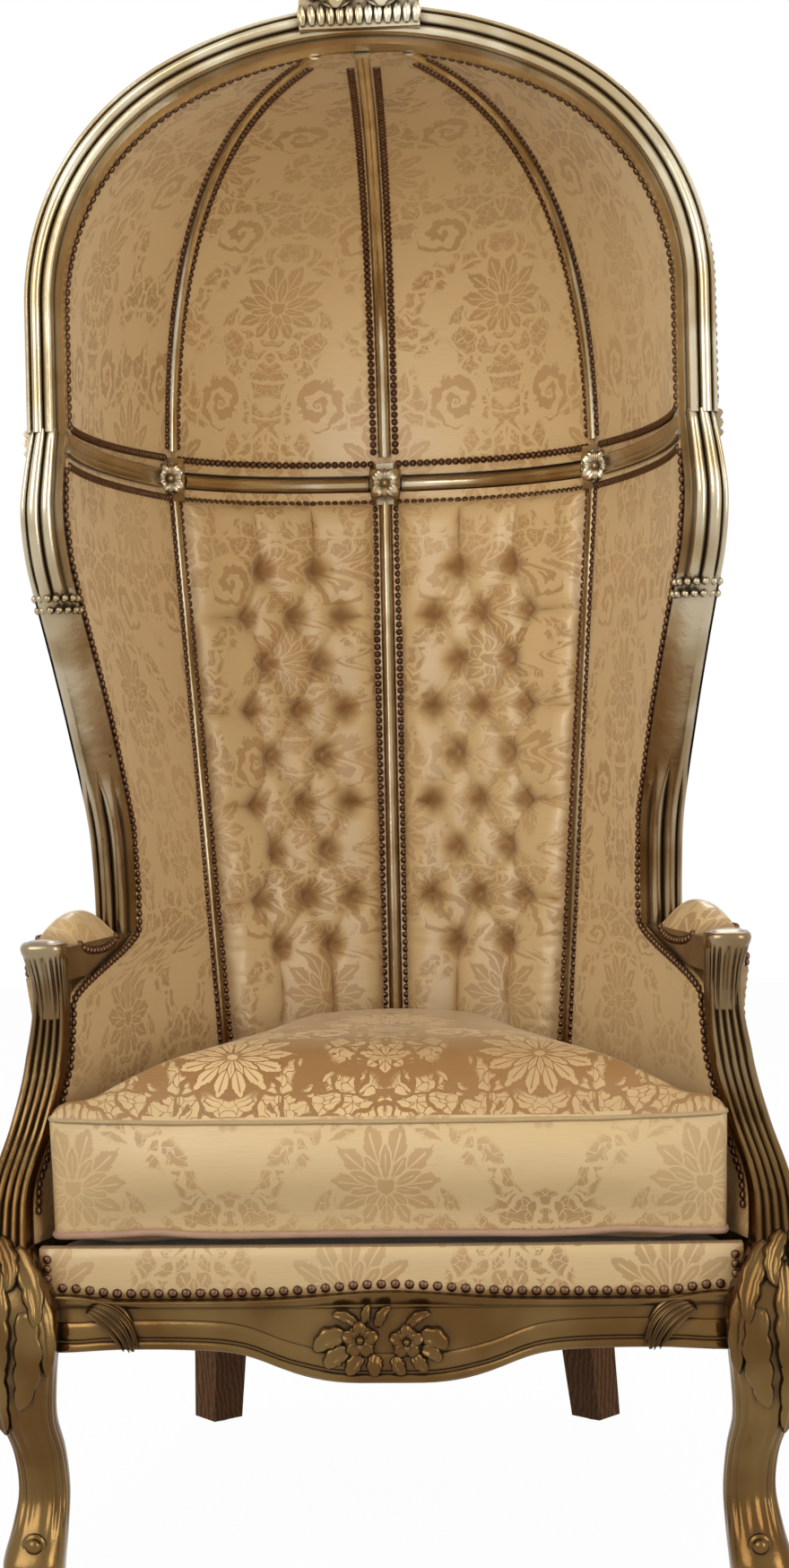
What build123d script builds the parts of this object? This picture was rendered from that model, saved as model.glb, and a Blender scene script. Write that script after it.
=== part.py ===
from build123d import *
import math
import os

# Hooded throne chair: a gilded rococo frame, a ribbed half-dome hood, button-tufted inside back
# panels and a loose T-shaped seat cushion. Millimetres, X to the right as seen from the front,
# the front faces -Y, Z up, origin on the floor under the middle of the chair.

# Overall sizes
half_width = 425.0
half_depth = 395.0
belt_height = 1222.0
rail_top = 302.0
rail_height = 52.0
seat_frame_rise = 58.0
leg_top = rail_top + seat_frame_rise
arm_height = 650.0
arm_cover = 22.0
arm_top = arm_height + arm_cover
post_rise = 13.0
post_top = belt_height + post_rise
glide_height = 4.0

# Inside of the shell: plan points of the stiles and of the spine, at the seat rail and at the belt
stile_foot_inset = 225.0
stile_foot_setback = 237.0
stile_top_inset = 158.0
stile_top_setback = 201.0
spine_foot_setback = 140.0
spine_top_setback = 43.0
stile_foot_x = half_width - stile_foot_inset
stile_foot_y = half_depth - stile_foot_setback
stile_top_x = half_width - stile_top_inset
stile_top_y = half_depth - stile_top_setback
spine_foot_y = half_depth - spine_foot_setback
spine_top_y = half_depth - spine_top_setback
back_bow_foot = 21.0
back_bow_top = 51.0
side_bow_foot = 5.0
side_bow_top = 23.0
stile_turn = 50.0
spine_turn = 90.0

# Layers of the shell, measured outward from its inside face
bead_proud = 8.0
bead_width = 18.0
bead_depth = 28.0
member_start = 12.0
member_width = 30.0
member_end_top = 44.0
member_end_foot = 74.0
panel_thickness = 10.0
skin_thickness = 8.0
rib_show = 6.0
belt_bead_height = 20.0
belt_body_height = 34.0
edge_cover = 3.0

# Arch of three centres that frames the hood
arch_width = 40.0
arch_depth = 47.0
arch_setback = 73.0
arch_inset = 56.0
arch_side_radius = 290.0
arch_crown_share = 2.1
arch_crown_drop = 1.0
arch_front_y = arch_setback - half_depth
arch_half_width = half_width - arch_inset
arch_side_x = arch_half_width - arch_side_radius
arch_crown_radius = arch_side_radius + arch_crown_share * arch_side_x
arch_crown_z = belt_height - arch_crown_drop
arch_side_z = arch_crown_z + math.sqrt((arch_crown_radius - arch_side_radius) ** 2 - arch_side_x**2)
arch_back_y = arch_front_y + arch_depth
arch_middle_y = arch_front_y + arch_depth / 2

# Half-dome hood behind the arch
hood_rise = arch_crown_z + arch_crown_radius - arch_width - belt_height
hood_power = 2.5
hood_lift_share = 0.8
rib_gap_at_crown = 50.0
hood_steps = 12
panel_columns = 4

# Front legs, arm supports and wing posts
knee_width = 74.0
support_width = 45.0
post_width = 46.0
leg_sides = 12
leg_roundness = 2.6

# Arms
arm_rail_height = 36.0
arm_rail_inside = 12.0
arm_rail_outside = 43.0
arm_rail_hidden = 38.0
pad_rise = 34.0
pad_overhang = 5.0
pad_front_share = 0.93
pad_back_share = 0.64
pad_end_share = 0.05
pad_stations = 8
pad_points = 8

# Rear legs
rear_leg_offset = 40.0
rear_leg_top_size = 52.0
rear_leg_foot_size = 44.0
rear_foot_splay = 46.0
rear_foot_setback = 71.0
rear_foot_x = stile_foot_x + rear_foot_splay
rear_foot_y = half_depth - rear_foot_setback

# Apron and seat
apron_thickness = 40.0
apron_setback = 81.0
apron_back_y = apron_setback - half_depth
apron_bow = 14.0
apron_centre_drop = 86.0
rail_shelf = 28.0
rail_show = 4.0
border_inset = 10.0
border_bow = 6.0
web_rest = 10.0
web_width = 55.0
web_thickness = 2.0
web_pitch = 80.0
cross_web_pitch = 100.0
web_stile_gap = 20.0
web_count = 2 * int((stile_foot_x - web_stile_gap) / web_pitch) + 1
cross_web_setback = 64.0
cross_web_start_y = apron_back_y + cross_web_setback
cross_web_reach = stile_foot_y - cross_web_start_y - web_stile_gap
cross_web_count = int(cross_web_reach / cross_web_pitch) + 1
deck_gap = 1.5
seat_side_share = 0.88
deck_front_inset = 75.0
deck_front_half = half_width - deck_front_inset
block_length = 50.0
block_height = 40.0
block_drop = 6.0
screw_radius = 2.5
screw_head_radius = 5.0
screw_head_height = 3.0
screw_length = 70.0
screw_rise = 9.0
cover_thickness = 1.5
cover_overlap = 16.0
glide_radius = 12.0

# Loose cushion
cushion_sink = 2.0
cushion_base = leg_top - cushion_sink
cushion_lift_gap = 0.3
cushion_edge_height = 134.0
cushion_crown_height = 188.0
cushion_front_inset = 59.0
cushion_front_setback = 53.0
cushion_ear_depth = 37.0
cushion_arm_inset = 91.0
cushion_stile_gap_x = 10.0
cushion_stile_gap_y = 12.0
cushion_spine_gap = 17.0
cushion_front_half = half_width - cushion_front_inset
cushion_front_y = cushion_front_setback - half_depth
cushion_ear_back_y = cushion_front_y + cushion_ear_depth
cushion_waist_half = half_width - cushion_arm_inset
cushion_rear_half = stile_foot_x - cushion_stile_gap_x
cushion_rear_y = stile_foot_y - cushion_stile_gap_y
cushion_back_y = spine_foot_y - cushion_spine_gap
cushion_front_bow = 5.0
cushion_side_draw = 5.0
cushion_corner = 10.0

# Tufts of the inside back
tuft_rows = 9
tuft_top_drop = 112.0
tuft_bottom_drop = 24.0
tuft_top_z = belt_height - tuft_top_drop
tuft_bottom_z = arm_height - tuft_bottom_drop
tuft_radius = 23.0
tuft_tip_radius = 3.0
tuft_depth = 15.0
tuft_sides = 6
pillow_rise = 14.0
pillow_margin = 38.0

# Rosettes and crest
joint_block_reach = 27.0
joint_block_offset = 17.0
joint_block_height = 54.0
joint_block_sides = 8
rosette_radius = 20.0
rosette_proud = 9.0
rosette_turn = 72.0
crest_half_width = 64.0
crest_base_drop = 30.0
crest_rise = 84.0
crest_thickness = 34.0
crest_proud = 14.0
crest_gap = 0.2
flower_radius = 21.0
flower_offset = 24.0
flower_proud = 7.0

# Fluted section of arch and wing posts: (share from inner to outer edge, share from front to back)
flute_shares = [
    (0.00, 1.00), (0.00, 0.34), (0.10, 0.18), (0.20, 0.20), (0.30, 0.03), (0.44, 0.00), (0.52, 0.13),
    (0.60, 0.01), (0.77, 0.05), (0.84, 0.19), (0.93, 0.16), (1.00, 0.38), (1.00, 1.00),
]

# Stations, bottom up, as shares: height, centre x, centre y, width, depth
leg_shares = [
    (0.000, 0.896, 0.914, 0.78, 0.80), (0.022, 0.896, 0.914, 0.84, 0.86), (0.080, 0.896, 0.914, 0.89, 0.92),
    (0.170, 0.885, 0.873, 0.81, 0.81), (0.270, 0.878, 0.841, 0.74, 0.74), (0.386, 0.887, 0.848, 0.74, 0.74),
    (0.492, 0.906, 0.886, 0.80, 0.80), (0.597, 0.912, 0.894, 0.89, 0.89), (0.694, 0.913, 0.894, 0.97, 0.97),
    (0.833, 0.913, 0.888, 1.00, 1.00), (0.917, 0.935, 0.873, 0.86, 0.89), (1.000, 0.951, 0.853, 0.70, 0.75),
]
support_shares = [
    (0.000, 0.951, 0.853, 1.15, 1.23), (0.195, 0.946, 0.797, 1.02, 1.07), (0.390, 0.906, 0.709, 1.00, 1.00),
    (0.584, 0.875, 0.648, 1.00, 1.00), (0.753, 0.867, 0.633, 1.00, 1.00), (0.909, 0.873, 0.663, 1.11, 1.07),
    (1.000, 0.882, 0.678, 1.29, 1.11),
]
post_shares = [
    (0.000, 0.856, 0.201, 1.00, 1.00), (0.103, 0.856, 0.221, 1.02, 1.04), (0.227, 0.859, 0.308, 1.04, 1.17),
    (0.426, 0.889, 0.553, 1.04, 1.26), (0.547, 0.911, 0.727, 1.02, 1.26), (0.666, 0.935, 0.905, 1.00, 1.17),
    (0.751, 0.954, 0.982, 1.00, 1.09), (0.842, 0.962, 1.018, 0.98, 1.00), (0.920, 0.954, 1.005, 0.91, 0.98),
    (1.000, 0.939, 1.000, 0.78, 0.93),
]
# Rear leg: share of the way down, share of the way out to the foot
rear_leg_shares = [(0.0, 0.0), (0.20, 0.09), (0.52, 0.38), (1.0, 1.0)]
# Arm rail stations along the side, stile to support: first hidden in the side, then in view
arm_hidden_shares = [0.0, 0.22, 0.44]
arm_shown_shares = [0.505, 0.62, 0.75, 0.88, 1.0]
# Half of the apron's lower edge, centre outward: share of the half length, share of the centre drop
apron_edge_shares = [
    (0.00, 1.00), (0.13, 0.99), (0.26, 0.86), (0.38, 0.66),
    (0.50, 0.60), (0.74, 0.60), (0.84, 0.63), (1.00, 0.58),
]
# Places of the tufts from spine to stile, (top row, bottom row), in rows of two and of three
tuft_pair_shares = [(0.29, 0.315), (0.55, 0.605)]
tuft_triple_shares = [(0.19, 0.185), (0.40, 0.43), (0.64, 0.71)]
# Swell of a tufted panel across its width
pillow_cross_shares = [
    (0.0, 0.0), (0.10, 0.75), (0.30, 1.0), (0.50, 1.0), (0.70, 1.0), (0.90, 0.75), (1.0, 0.0),
]
# Crown of the cushion, front to back: share of the depth, crown share, half width share of the front
crown_shares = [
    (0.0, 0.04, 1.02), (0.07, 0.38, 1.03), (0.22, 0.80, 0.99),
    (0.48, 1.0, 0.86), (0.78, 0.86, 0.64), (1.0, 0.34, 0.60),
]
# Silhouette of the crest above its base, centre outward: share of the half width, share of the rise
crest_shares = [
    (0.00, 1.00), (0.20, 0.93), (0.38, 0.74), (0.50, 0.66), (0.62, 0.70), (0.80, 0.52), (0.92, 0.26), (1.00, 0.00),
]

# Working sizes that only the construction uses
overrun = 12.0
big = 2000.0


def lerp(start, end, share):
    return start + (end - start) * share


def mix(start, end, share):
    """The point at a share of the way between two points."""
    return tuple(lerp(a, b, share) for a, b in zip(start, end))


def loft_through(rings, ruled=False):
    """A solid through closed polygons with equal numbers of corners."""
    wires = [Wire.make_polygon([Vector(*point) for point in ring], close=True) for ring in rings]
    return Solid.make_loft(wires, ruled)


def prism(points, bottom, top):
    """An upright prism over a plan outline."""
    face = Face(Wire.make_polygon([Vector(x, y, bottom) for x, y in points], close=True))
    return Solid.extrude(face, Vector(0, 0, top - bottom))


def block(low, high):
    """A box between two corners."""
    size = [b - a for a, b in zip(low, high)]
    return Pos(*mix(low, high, 1 / 2)) * Box(*size)


def largest(shape):
    return max(shape.solids(), key=lambda solid: solid.volume)


def trim(shape, *others):
    """What is left of a piece beside the pieces that it butts against."""
    for other in others:
        shape = largest(shape - other)
    return shape


def keep(shape, low, high):
    """The part of a piece that lies within a box."""
    return largest(shape & block(low, high))


def mirrored(shape):
    return shape.mirror(Plane.YZ)


def turned(angle):
    """A level unit direction, counted from +X towards +Y."""
    return (math.cos(math.radians(angle)), math.sin(math.radians(angle)))


def shifted(point, direction, distance):
    return (point[0] + direction[0] * distance, point[1] + direction[1] * distance)


def bowed(start, end, bow, share):
    """A point of a shallow curve that bulges to the left of the way from start to end."""
    dx, dy = end[0] - start[0], end[1] - start[1]
    length = math.hypot(dx, dy)
    swell = 4 * bow * share * (1 - share)
    x, y = mix(start, end, share)
    return (x - dy / length * swell, y + dx / length * swell)


def shell_share(z):
    """How far up a height lies between the seat rail and the belt."""
    return (z - rail_top) / (belt_height - rail_top)


def stile_at(z):
    return mix((stile_foot_x, stile_foot_y), (stile_top_x, stile_top_y), shell_share(z))


def spine_at(z):
    return (0, lerp(spine_foot_y, spine_top_y, shell_share(z)))


def member_end(z):
    """Outer edge of the stiles, which grow deeper towards the seat rail."""
    return lerp(member_end_foot, member_end_top, shell_share(z))


def station(shares, share, column):
    """One value of a station table at any height share between its rows."""
    for low, high in zip(shares, shares[1:]):
        if share <= high[0]:
            part = max(0, (share - low[0]) / (high[0] - low[0]))
            return lerp(low[column], high[column], part)
    return shares[-1][column]


def leg_box(share):
    """Centre, width and depth of the front leg at a height share."""
    x = station(leg_shares, share, 1) * half_width
    y = -station(leg_shares, share, 2) * half_depth
    return x, y, station(leg_shares, share, 3) * knee_width, station(leg_shares, share, 4) * knee_width


def support_box(share):
    x = station(support_shares, share, 1) * half_width
    y = -station(support_shares, share, 2) * half_depth
    width = station(support_shares, share, 3) * support_width
    return x, y, width, station(support_shares, share, 4) * support_width


def post_box(share):
    x = station(post_shares, share, 1) * arch_half_width
    y = station(post_shares, share, 2) * arch_middle_y
    return x, y, station(post_shares, share, 3) * post_width, station(post_shares, share, 4) * post_width


def side_front(z, upper):
    """Where the side upholstery ends in front: plan point inside its post, and the post's width."""
    if upper:
        x, y, width, depth = post_box((z - arm_top) / (post_top - arm_top))
    elif z > leg_top:
        x, y, width, depth = support_box((z - leg_top) / (arm_top - leg_top))
    else:
        x, y, width, depth = support_box(0)
    return (x - width / 2 + edge_cover, y), width


def side_point(z, upper, share, out):
    """A point of the side shell: share from stile to front post, out from its inside face."""
    front, width = side_front(z, upper)
    bow = lerp(side_bow_foot, side_bow_top, shell_share(z) ** 2)
    direction = turned(stile_turn * (1 - share))
    x, y = shifted(bowed(stile_at(z), front, bow, share), direction, out)
    return (x, y, z)


def back_point(z, share, out):
    """A point of the back shell: share from spine to stile, out from its inside face."""
    bow = lerp(back_bow_foot, back_bow_top, shell_share(z))
    direction = turned(lerp(spine_turn, stile_turn, share))
    x, y = shifted(bowed(spine_at(z), stile_at(z), bow, share), direction, out)
    return (x, y, z)


def arch_lengths(inset, end_x):
    """Lengths of the upright, the side arc and the crown arc, from the belt to where x is end_x."""
    side = arch_side_radius - inset
    crown = arch_crown_radius - inset
    meeting = math.atan2(arch_side_z - arch_crown_z, arch_side_x)
    end = math.acos(end_x / crown)
    return [arch_side_z - belt_height, side * meeting, crown * (end - meeting)]


def arch_curve(share, inset, end_x):
    """A point (x, z) and the outward angle of a line inset from the arch's outer edge."""
    side = arch_side_radius - inset
    crown = arch_crown_radius - inset
    upright, side_arc, crown_arc = arch_lengths(inset, end_x)
    way = share * (upright + side_arc + crown_arc)
    if way <= upright:
        return arch_side_x + side, belt_height + way, 0
    if way <= upright + side_arc:
        angle = (way - upright) / side
        return arch_side_x + side * math.cos(angle), arch_side_z + side * math.sin(angle), angle
    angle = side_arc / side + (way - upright - side_arc) / crown
    return crown * math.cos(angle), arch_crown_z + crown * math.sin(angle), angle


def rib_climb(share):
    """Superellipse of a hood rib: (outward, upward) from the belt (1, 0) to the crown (0, 1)."""
    angle = share * math.pi / 2
    return max(0, math.cos(angle)) ** (2 / hood_power), math.sin(angle) ** (2 / hood_power)


def arch_climb(share):
    """The arch's inner edge, just covered, in the same form as rib_climb."""
    inset = arch_width - edge_cover
    x, z, angle = arch_curve(share, inset, rib_gap_at_crown)
    reach = arch_half_width - inset - rib_gap_at_crown
    return (x - rib_gap_at_crown) / reach, (z - belt_height) / hood_rise


def hood_point(plan, pole_x, climb, out):
    """A point of the hood over a plan point: climb is its (outward, upward) share, out its layer."""
    reach_x, reach_y = plan[0] - pole_x, plan[1] - arch_back_y
    reach = math.hypot(reach_x, reach_y)
    scale = climb[0] * (reach + out) / reach
    z = belt_height + (hood_rise + out * hood_lift_share) * climb[1]
    return (pole_x + reach_x * scale, arch_back_y + reach_y * scale, z)


def layer(inner, outer):
    """A closed outline between an inner line and an outer line of points."""
    return inner + outer[::-1]


def smooth_face(inner, outer):
    """A flat face between two smooth lines, closed by straight ends."""
    inner = [Vector(*p) for p in inner]
    outer = [Vector(*p) for p in outer]
    ends = [Edge.make_line(inner[-1], outer[-1]), Edge.make_line(outer[0], inner[0])]
    return Face(Wire([Edge.make_spline(inner), ends[0], Edge.make_spline(outer), ends[1]]))


def smooth_board(inner, outer, normal, thickness):
    """A flat board with smooth long edges, thickened to both sides of its plane."""
    side = Vector(*normal).normalized() * (thickness / 2)
    face = smooth_face(inner, outer)
    return Solid.extrude(face.moved(Location(-side)), side * 2)


def board(points, normal, thickness):
    """A flat board with straight edges, thickened to both sides of its plane."""
    side = Vector(*normal).normalized() * (thickness / 2)
    face = Face(Wire.make_polygon([Vector(*p) - side for p in points], close=True))
    return Solid.extrude(face, side * 2)


def fluted_post(box_at, shares, bottom, top):
    """A fluted upright through level sections, flutes to the front."""
    rings = []
    for row in shares:
        x, y, width, depth = box_at(row[0])
        z = lerp(bottom, top, row[0])
        rings.append([(x + (u - 1 / 2) * width, y + (v - 1 / 2) * depth, z) for u, v in flute_shares])
    return loft_through(rings)


def front_leg():
    """Cabriole leg: swelling knee, slim ankle and turned-out foot, in level rounded-square sections."""
    rings = []
    for row in leg_shares:
        x, y, width, depth = leg_box(row[0])
        ring = []
        for side in range(leg_sides):
            angle = 2 * math.pi * (side + 1 / 2) / leg_sides
            c, s = math.cos(angle), math.sin(angle)
            u = math.copysign(abs(c) ** (2 / leg_roundness), c) * width / 2
            v = math.copysign(abs(s) ** (2 / leg_roundness), s) * depth / 2
            ring.append((x + u, y + v, lerp(glide_height, leg_top, row[0])))
        rings.append(ring)
    return loft_through(rings)


def rear_leg():
    """Square sabre leg set cornerwise under the joint of side and back rail."""
    top = shifted((stile_foot_x, stile_foot_y), turned(stile_turn), rear_leg_offset)
    rings = []
    for down, away in rear_leg_shares:
        x, y = mix(top, (rear_foot_x, rear_foot_y), away)
        reach = lerp(rear_leg_top_size, rear_leg_foot_size, down) / math.sqrt(2)
        z = lerp(rail_top - rail_height, glide_height, down)
        corners = [turned(stile_turn + 45 + quarter * 90) for quarter in range(4)]
        rings.append([(x + cx * reach, y + cy * reach, z) for cx, cy in corners])
    return loft_through(rings)


def arch_half():
    """Half of the moulded arch, from the wing post to the crown."""
    middle = arch_width / 2
    foot_share = (post_top - belt_height) / sum(arch_lengths(middle, 0))
    rings = []
    for step in range(hood_steps + 1):
        x, z, angle = arch_curve(lerp(foot_share, 1, step / hood_steps), middle, 0)
        ring = []
        for u, v in flute_shares:
            out = (u - 1 / 2) * arch_width
            y = arch_front_y + v * arch_depth
            ring.append((x + math.cos(angle) * out, y, z + math.sin(angle) * out))
        rings.append(ring)
    return loft_through(rings)


def hood_rib(plan, pole_x):
    """Curved rib in the upright plane of its pole: a slim bead inside, a wider body behind it."""
    normal = (plan[1] - arch_back_y, pole_x - plan[0], 0)
    reach = math.hypot(plan[0] - pole_x, plan[1] - arch_back_y)
    past_pole = [(-overrun / reach, 1)]
    climbs = [rib_climb(step / hood_steps) for step in range(hood_steps)] + past_pole

    def line(out):
        return [hood_point(plan, pole_x, climb, out) for climb in climbs]

    bead = smooth_board(line(-bead_proud), line(bead_depth - bead_proud), normal, bead_width)
    body = smooth_board(line(member_start), line(member_end_top), normal, member_width)
    low = (-big, arch_back_y, belt_height + joint_block_height / 2)
    return keep(largest(bead + body), low, (big, big, big))


def stile(foot, top, turn):
    """Straight stile from seat rail to belt: bead inside, body behind it that deepens downward."""
    direction = turned(turn)
    rise = Vector(top[0] - foot[0], top[1] - foot[1], belt_height - rail_top)
    normal = Vector(direction[0], direction[1], 0).cross(rise)

    def at(z, out):
        x, y = shifted(mix(foot, top, shell_share(z)), direction, out)
        return (x, y, z)

    low, high = rail_top - overrun, belt_height
    inner, outer = -bead_proud, bead_depth - bead_proud
    bead = board([at(low, inner), at(low, outer), at(high, outer), at(high, inner)], normal, bead_width)
    outer_line = [at(low, member_end(low)), at(high, member_end(high))]
    body = board([at(low, member_start)] + outer_line + [at(high, member_start)], normal, member_width)
    top = belt_height - belt_body_height / 2
    return keep(largest(bead + body), (-big, -big, rail_top), (big, big, top))


def belt_rail(point_at):
    """Level curved rail at belt height: bead inside, body behind it."""
    shares = [step / panel_columns for step in range(panel_columns + 1)]

    def slab(near, far, height):
        inner = [point_at(share, near) for share in shares]
        outer = [point_at(share, far) for share in shares]
        face = smooth_face(inner, outer)
        return Solid.extrude(face.moved(Location((0, 0, -height / 2))), Vector(0, 0, height))

    bead = slab(-bead_proud, bead_depth - bead_proud, belt_bead_height)
    body = slab(member_start, member_end_top, belt_body_height)
    return largest(bead + body)


def joint_block(plan, turn, facing_turn):
    """Eight-sided block where stile, rib and belt rails meet, with a round boss for its rosette."""
    centre = shifted(plan, turned(turn), joint_block_offset)
    corner = joint_block_reach / math.cos(math.pi / joint_block_sides)
    angles = [360 * (side + 1 / 2) / joint_block_sides for side in range(joint_block_sides)]
    outline = [shifted(centre, turned(angle), corner) for angle in angles]
    core = prism(outline, belt_height - joint_block_height / 2, belt_height + joint_block_height / 2)
    facing = turned(facing_turn)
    start = shifted(centre, facing, -joint_block_reach - rosette_proud)
    plane = Plane(origin=(start[0], start[1], belt_height), z_dir=(facing[0], facing[1], 0))
    boss = Solid.make_cylinder(rosette_radius, joint_block_reach + rosette_proud, plane)
    return largest(core + boss)


def skin_outs(z, width, share):
    """Inner and outer layer of the outside covering, from its stile to its front post."""
    outer = lerp(member_end(z) - rib_show, width - 2 * edge_cover, share)
    return outer - skin_thickness, outer


def side_layer(heights, upper, outside):
    """One part of the side upholstery through level sections."""
    rings = []
    shares = [column / panel_columns for column in range(panel_columns + 1)]
    for z in heights:
        width = side_front(z, upper)[1]
        outs = [skin_outs(z, width, share) if outside else (0, panel_thickness) for share in shares]
        inner = [side_point(z, upper, share, out[0]) for share, out in zip(shares, outs)]
        outer = [side_point(z, upper, share, out[1]) for share, out in zip(shares, outs)]
        rings.append(layer(inner, outer))
    return loft_through(rings, ruled=True)


def side_cover(outside):
    """Side upholstery in one piece: the wing above the arm and the panel under the arm."""
    top = belt_height - (belt_body_height if outside else belt_bead_height) / 2
    arm_heights = [lerp(leg_top, arm_top, row[0]) for row in support_shares]
    wing_heights = [lerp(arm_top, post_top, row[0]) for row in post_shares]
    below = [rail_top] + [z for z in arm_heights if z < arm_height] + [arm_height]
    above = [arm_height] + [z for z in wing_heights if z < top] + [top]
    return largest(side_layer(below, False, outside) + side_layer(above, True, outside))


def tuft(share, z):
    """The hollow that one sewn tuft pulls into a panel: a blunt pyramid, point to the back."""
    x, y, z = back_point(z, share, 0)
    facing = turned(lerp(spine_turn, stile_turn, share))
    rings = []
    for out, radius in ((tuft_depth - pillow_rise, tuft_tip_radius), (-pillow_rise, tuft_radius)):
        centre = shifted((x, y), facing, out)
        ring = []
        for side in range(tuft_sides):
            angle = 2 * math.pi * side / tuft_sides
            across = shifted(centre, (facing[1], -facing[0]), radius * math.cos(angle))
            ring.append((across[0], across[1], z + radius * math.sin(angle)))
        rings.append(ring)
    mouth = [mix(low, high, 1 + overrun / tuft_depth) for low, high in zip(*rings)]
    return loft_through([rings[0], mouth], ruled=True)


def tufts():
    """All tufts of one panel, in alternating rows of two and of three."""
    cuts = []
    for row in range(tuft_rows):
        fall = row / (tuft_rows - 1)
        z = lerp(tuft_top_z, tuft_bottom_z, fall)
        places = tuft_triple_shares if row % 2 else tuft_pair_shares
        cuts += [tuft(lerp(top, bottom, fall), z) for top, bottom in places]
    return cuts


def tufted_panel():
    """Inside back panel, padded, drawn in along its edges and at its tufts."""
    top = belt_height - belt_bead_height / 2
    swelling = [(rail_top, 0), (leg_top, 0), (leg_top + pillow_margin, 1)]
    swelling += [(belt_height - 2 * pillow_margin, 1), (top, 0)]
    rings = []
    for z, swell in swelling:
        inner = [back_point(z, share, -pillow_rise * part * swell) for share, part in pillow_cross_shares]
        outer = [back_point(z, share, panel_thickness) for share, part in pillow_cross_shares]
        rings.append(layer(inner, outer))
    return largest(loft_through(rings, ruled=True).cut(*tufts()))


def back_skin():
    """Outside covering of the back between spine and stile."""
    top = belt_height - belt_body_height / 2
    shares = [column / panel_columns for column in range(panel_columns + 1)]
    rings = []
    for step in range(panel_columns + 1):
        z = lerp(rail_top, top, step / panel_columns)
        far = member_end(z) - rib_show
        inner = [back_point(z, share, far - skin_thickness) for share in shares]
        outer = [back_point(z, share, far) for share in shares]
        rings.append(layer(inner, outer))
    return loft_through(rings, ruled=True)


def hood_panel(plans, poles, climb_at, near, far, drop):
    """One gore of the hood: upright sections that fan out from the crown."""
    rings = []
    for column, (plan, pole_x) in enumerate(zip(plans, poles)):
        climbs = [climb_at(step / hood_steps, column / panel_columns) for step in range(hood_steps + 1)]
        inner = [hood_point(plan, pole_x, climb, near) for climb in climbs]
        outer = [hood_point(plan, pole_x, climb, far) for climb in climbs]
        rings.append(layer(inner, outer))
    gore = loft_through(rings, ruled=True)
    return keep(gore, (-big, -big, belt_height + drop), (big, big, big))


def centre_gore(near, far, drop):
    shares = [column / panel_columns for column in range(panel_columns + 1)]
    plans = [back_point(belt_height, share, 0)[:2] for share in shares]
    poles = [rib_gap_at_crown * share for share in shares]

    def climb_at(climb, across):
        return rib_climb(climb)

    return hood_panel(plans, poles, climb_at, near, far, drop)


def side_gore(near, far, drop):
    shares = [column / panel_columns for column in range(panel_columns + 1)]
    front = (arch_half_width - arch_width + edge_cover, arch_back_y)
    plans = [bowed((stile_top_x, stile_top_y), front, side_bow_top, share) for share in shares]
    poles = [rib_gap_at_crown for share in shares]

    def climb_at(climb, across):
        return mix(rib_climb(climb), arch_climb(climb), across)

    return hood_panel(plans, poles, climb_at, near, far, drop)


def arm_ring(share, near, far, low, high):
    """An upright section across the arm at a share of the way from stile to support."""
    corners = [(near, low), (far, low), (far, high), (near, high)]
    return [side_point(arm_height, False, share, out)[:2] + (z,) for out, z in corners]


def arm_rail():
    """Arm rail from the stile, hidden in the side, out to the arm support."""
    low = arm_top - arm_rail_height
    rings = [arm_ring(share, arm_rail_inside, arm_rail_hidden, low, arm_top) for share in arm_hidden_shares]
    rings += [arm_ring(share, -edge_cover, arm_rail_outside, low, arm_top) for share in arm_shown_shares]
    return loft_through(rings, ruled=True)


def arm_pad():
    """Padded rest on the arm rail: arched sections that swell and die away towards both ends."""
    near, far = 0, arm_rail_outside + pad_overhang
    rings = []
    for step in range(pad_stations + 1):
        share = lerp(pad_back_share, pad_front_share, step / pad_stations)
        swell = max(pad_end_share, math.sin(math.pi * step / pad_stations)) ** (1 / 2)
        ring = []
        for point in range(pad_points + 1):
            angle = math.pi * point / pad_points
            out = lerp(near, far, (1 - math.cos(angle)) / 2)
            x, y, z = side_point(arm_height, False, share, out)
            ring.append((x, y, arm_top + pad_rise * swell * math.sin(angle)))
        rings.append(ring)
    return loft_through(rings)


def side_rail():
    """Side seat rail: a level sawn board that follows the plan of the side from leg to stile."""
    shares = [column / panel_columns for column in range(panel_columns + 1)]
    width = side_front(rail_top, False)[1]
    inner = [side_point(rail_top, False, share, -rail_shelf)[:2] for share in shares]
    outer = []
    for share in shares:
        out = lerp(member_end_foot, width - 2 * edge_cover, share) + rail_show
        outer.append(side_point(rail_top, False, share, out)[:2])
    rail = prism(layer(inner, outer), rail_top - rail_height, rail_top)
    return keep(rail, (-big, apron_back_y, 0), (big, big, big))


def back_rail():
    """Back seat rail: one level curved board from stile to stile."""
    shares = [step / panel_columns for step in range(panel_columns + 1)]
    inner = [back_point(rail_top, share, -rail_shelf)[:2] for share in shares]
    outer = [back_point(rail_top, share, member_end_foot + rail_show)[:2] for share in shares]
    right = layer(inner, outer)
    left = [(-x, y) for x, y in right]
    low = rail_top - rail_height
    return largest(prism(right, low, rail_top) + prism(left, low, rail_top))


def front_plan(front_y, bow, back_y):
    """Plan of a front piece: straight behind, gently bowed in front."""
    ends = front_y + bow
    arc = Edge.make_three_point_arc((-half_width, ends, 0), (0, front_y, 0), (half_width, ends, 0))
    back = [Edge.make_line((half_width, ends, 0), (half_width, back_y, 0))]
    back.append(Edge.make_line((half_width, back_y, 0), (-half_width, back_y, 0)))
    back.append(Edge.make_line((-half_width, back_y, 0), (-half_width, ends, 0)))
    return Face(Wire([arc] + back))


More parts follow.
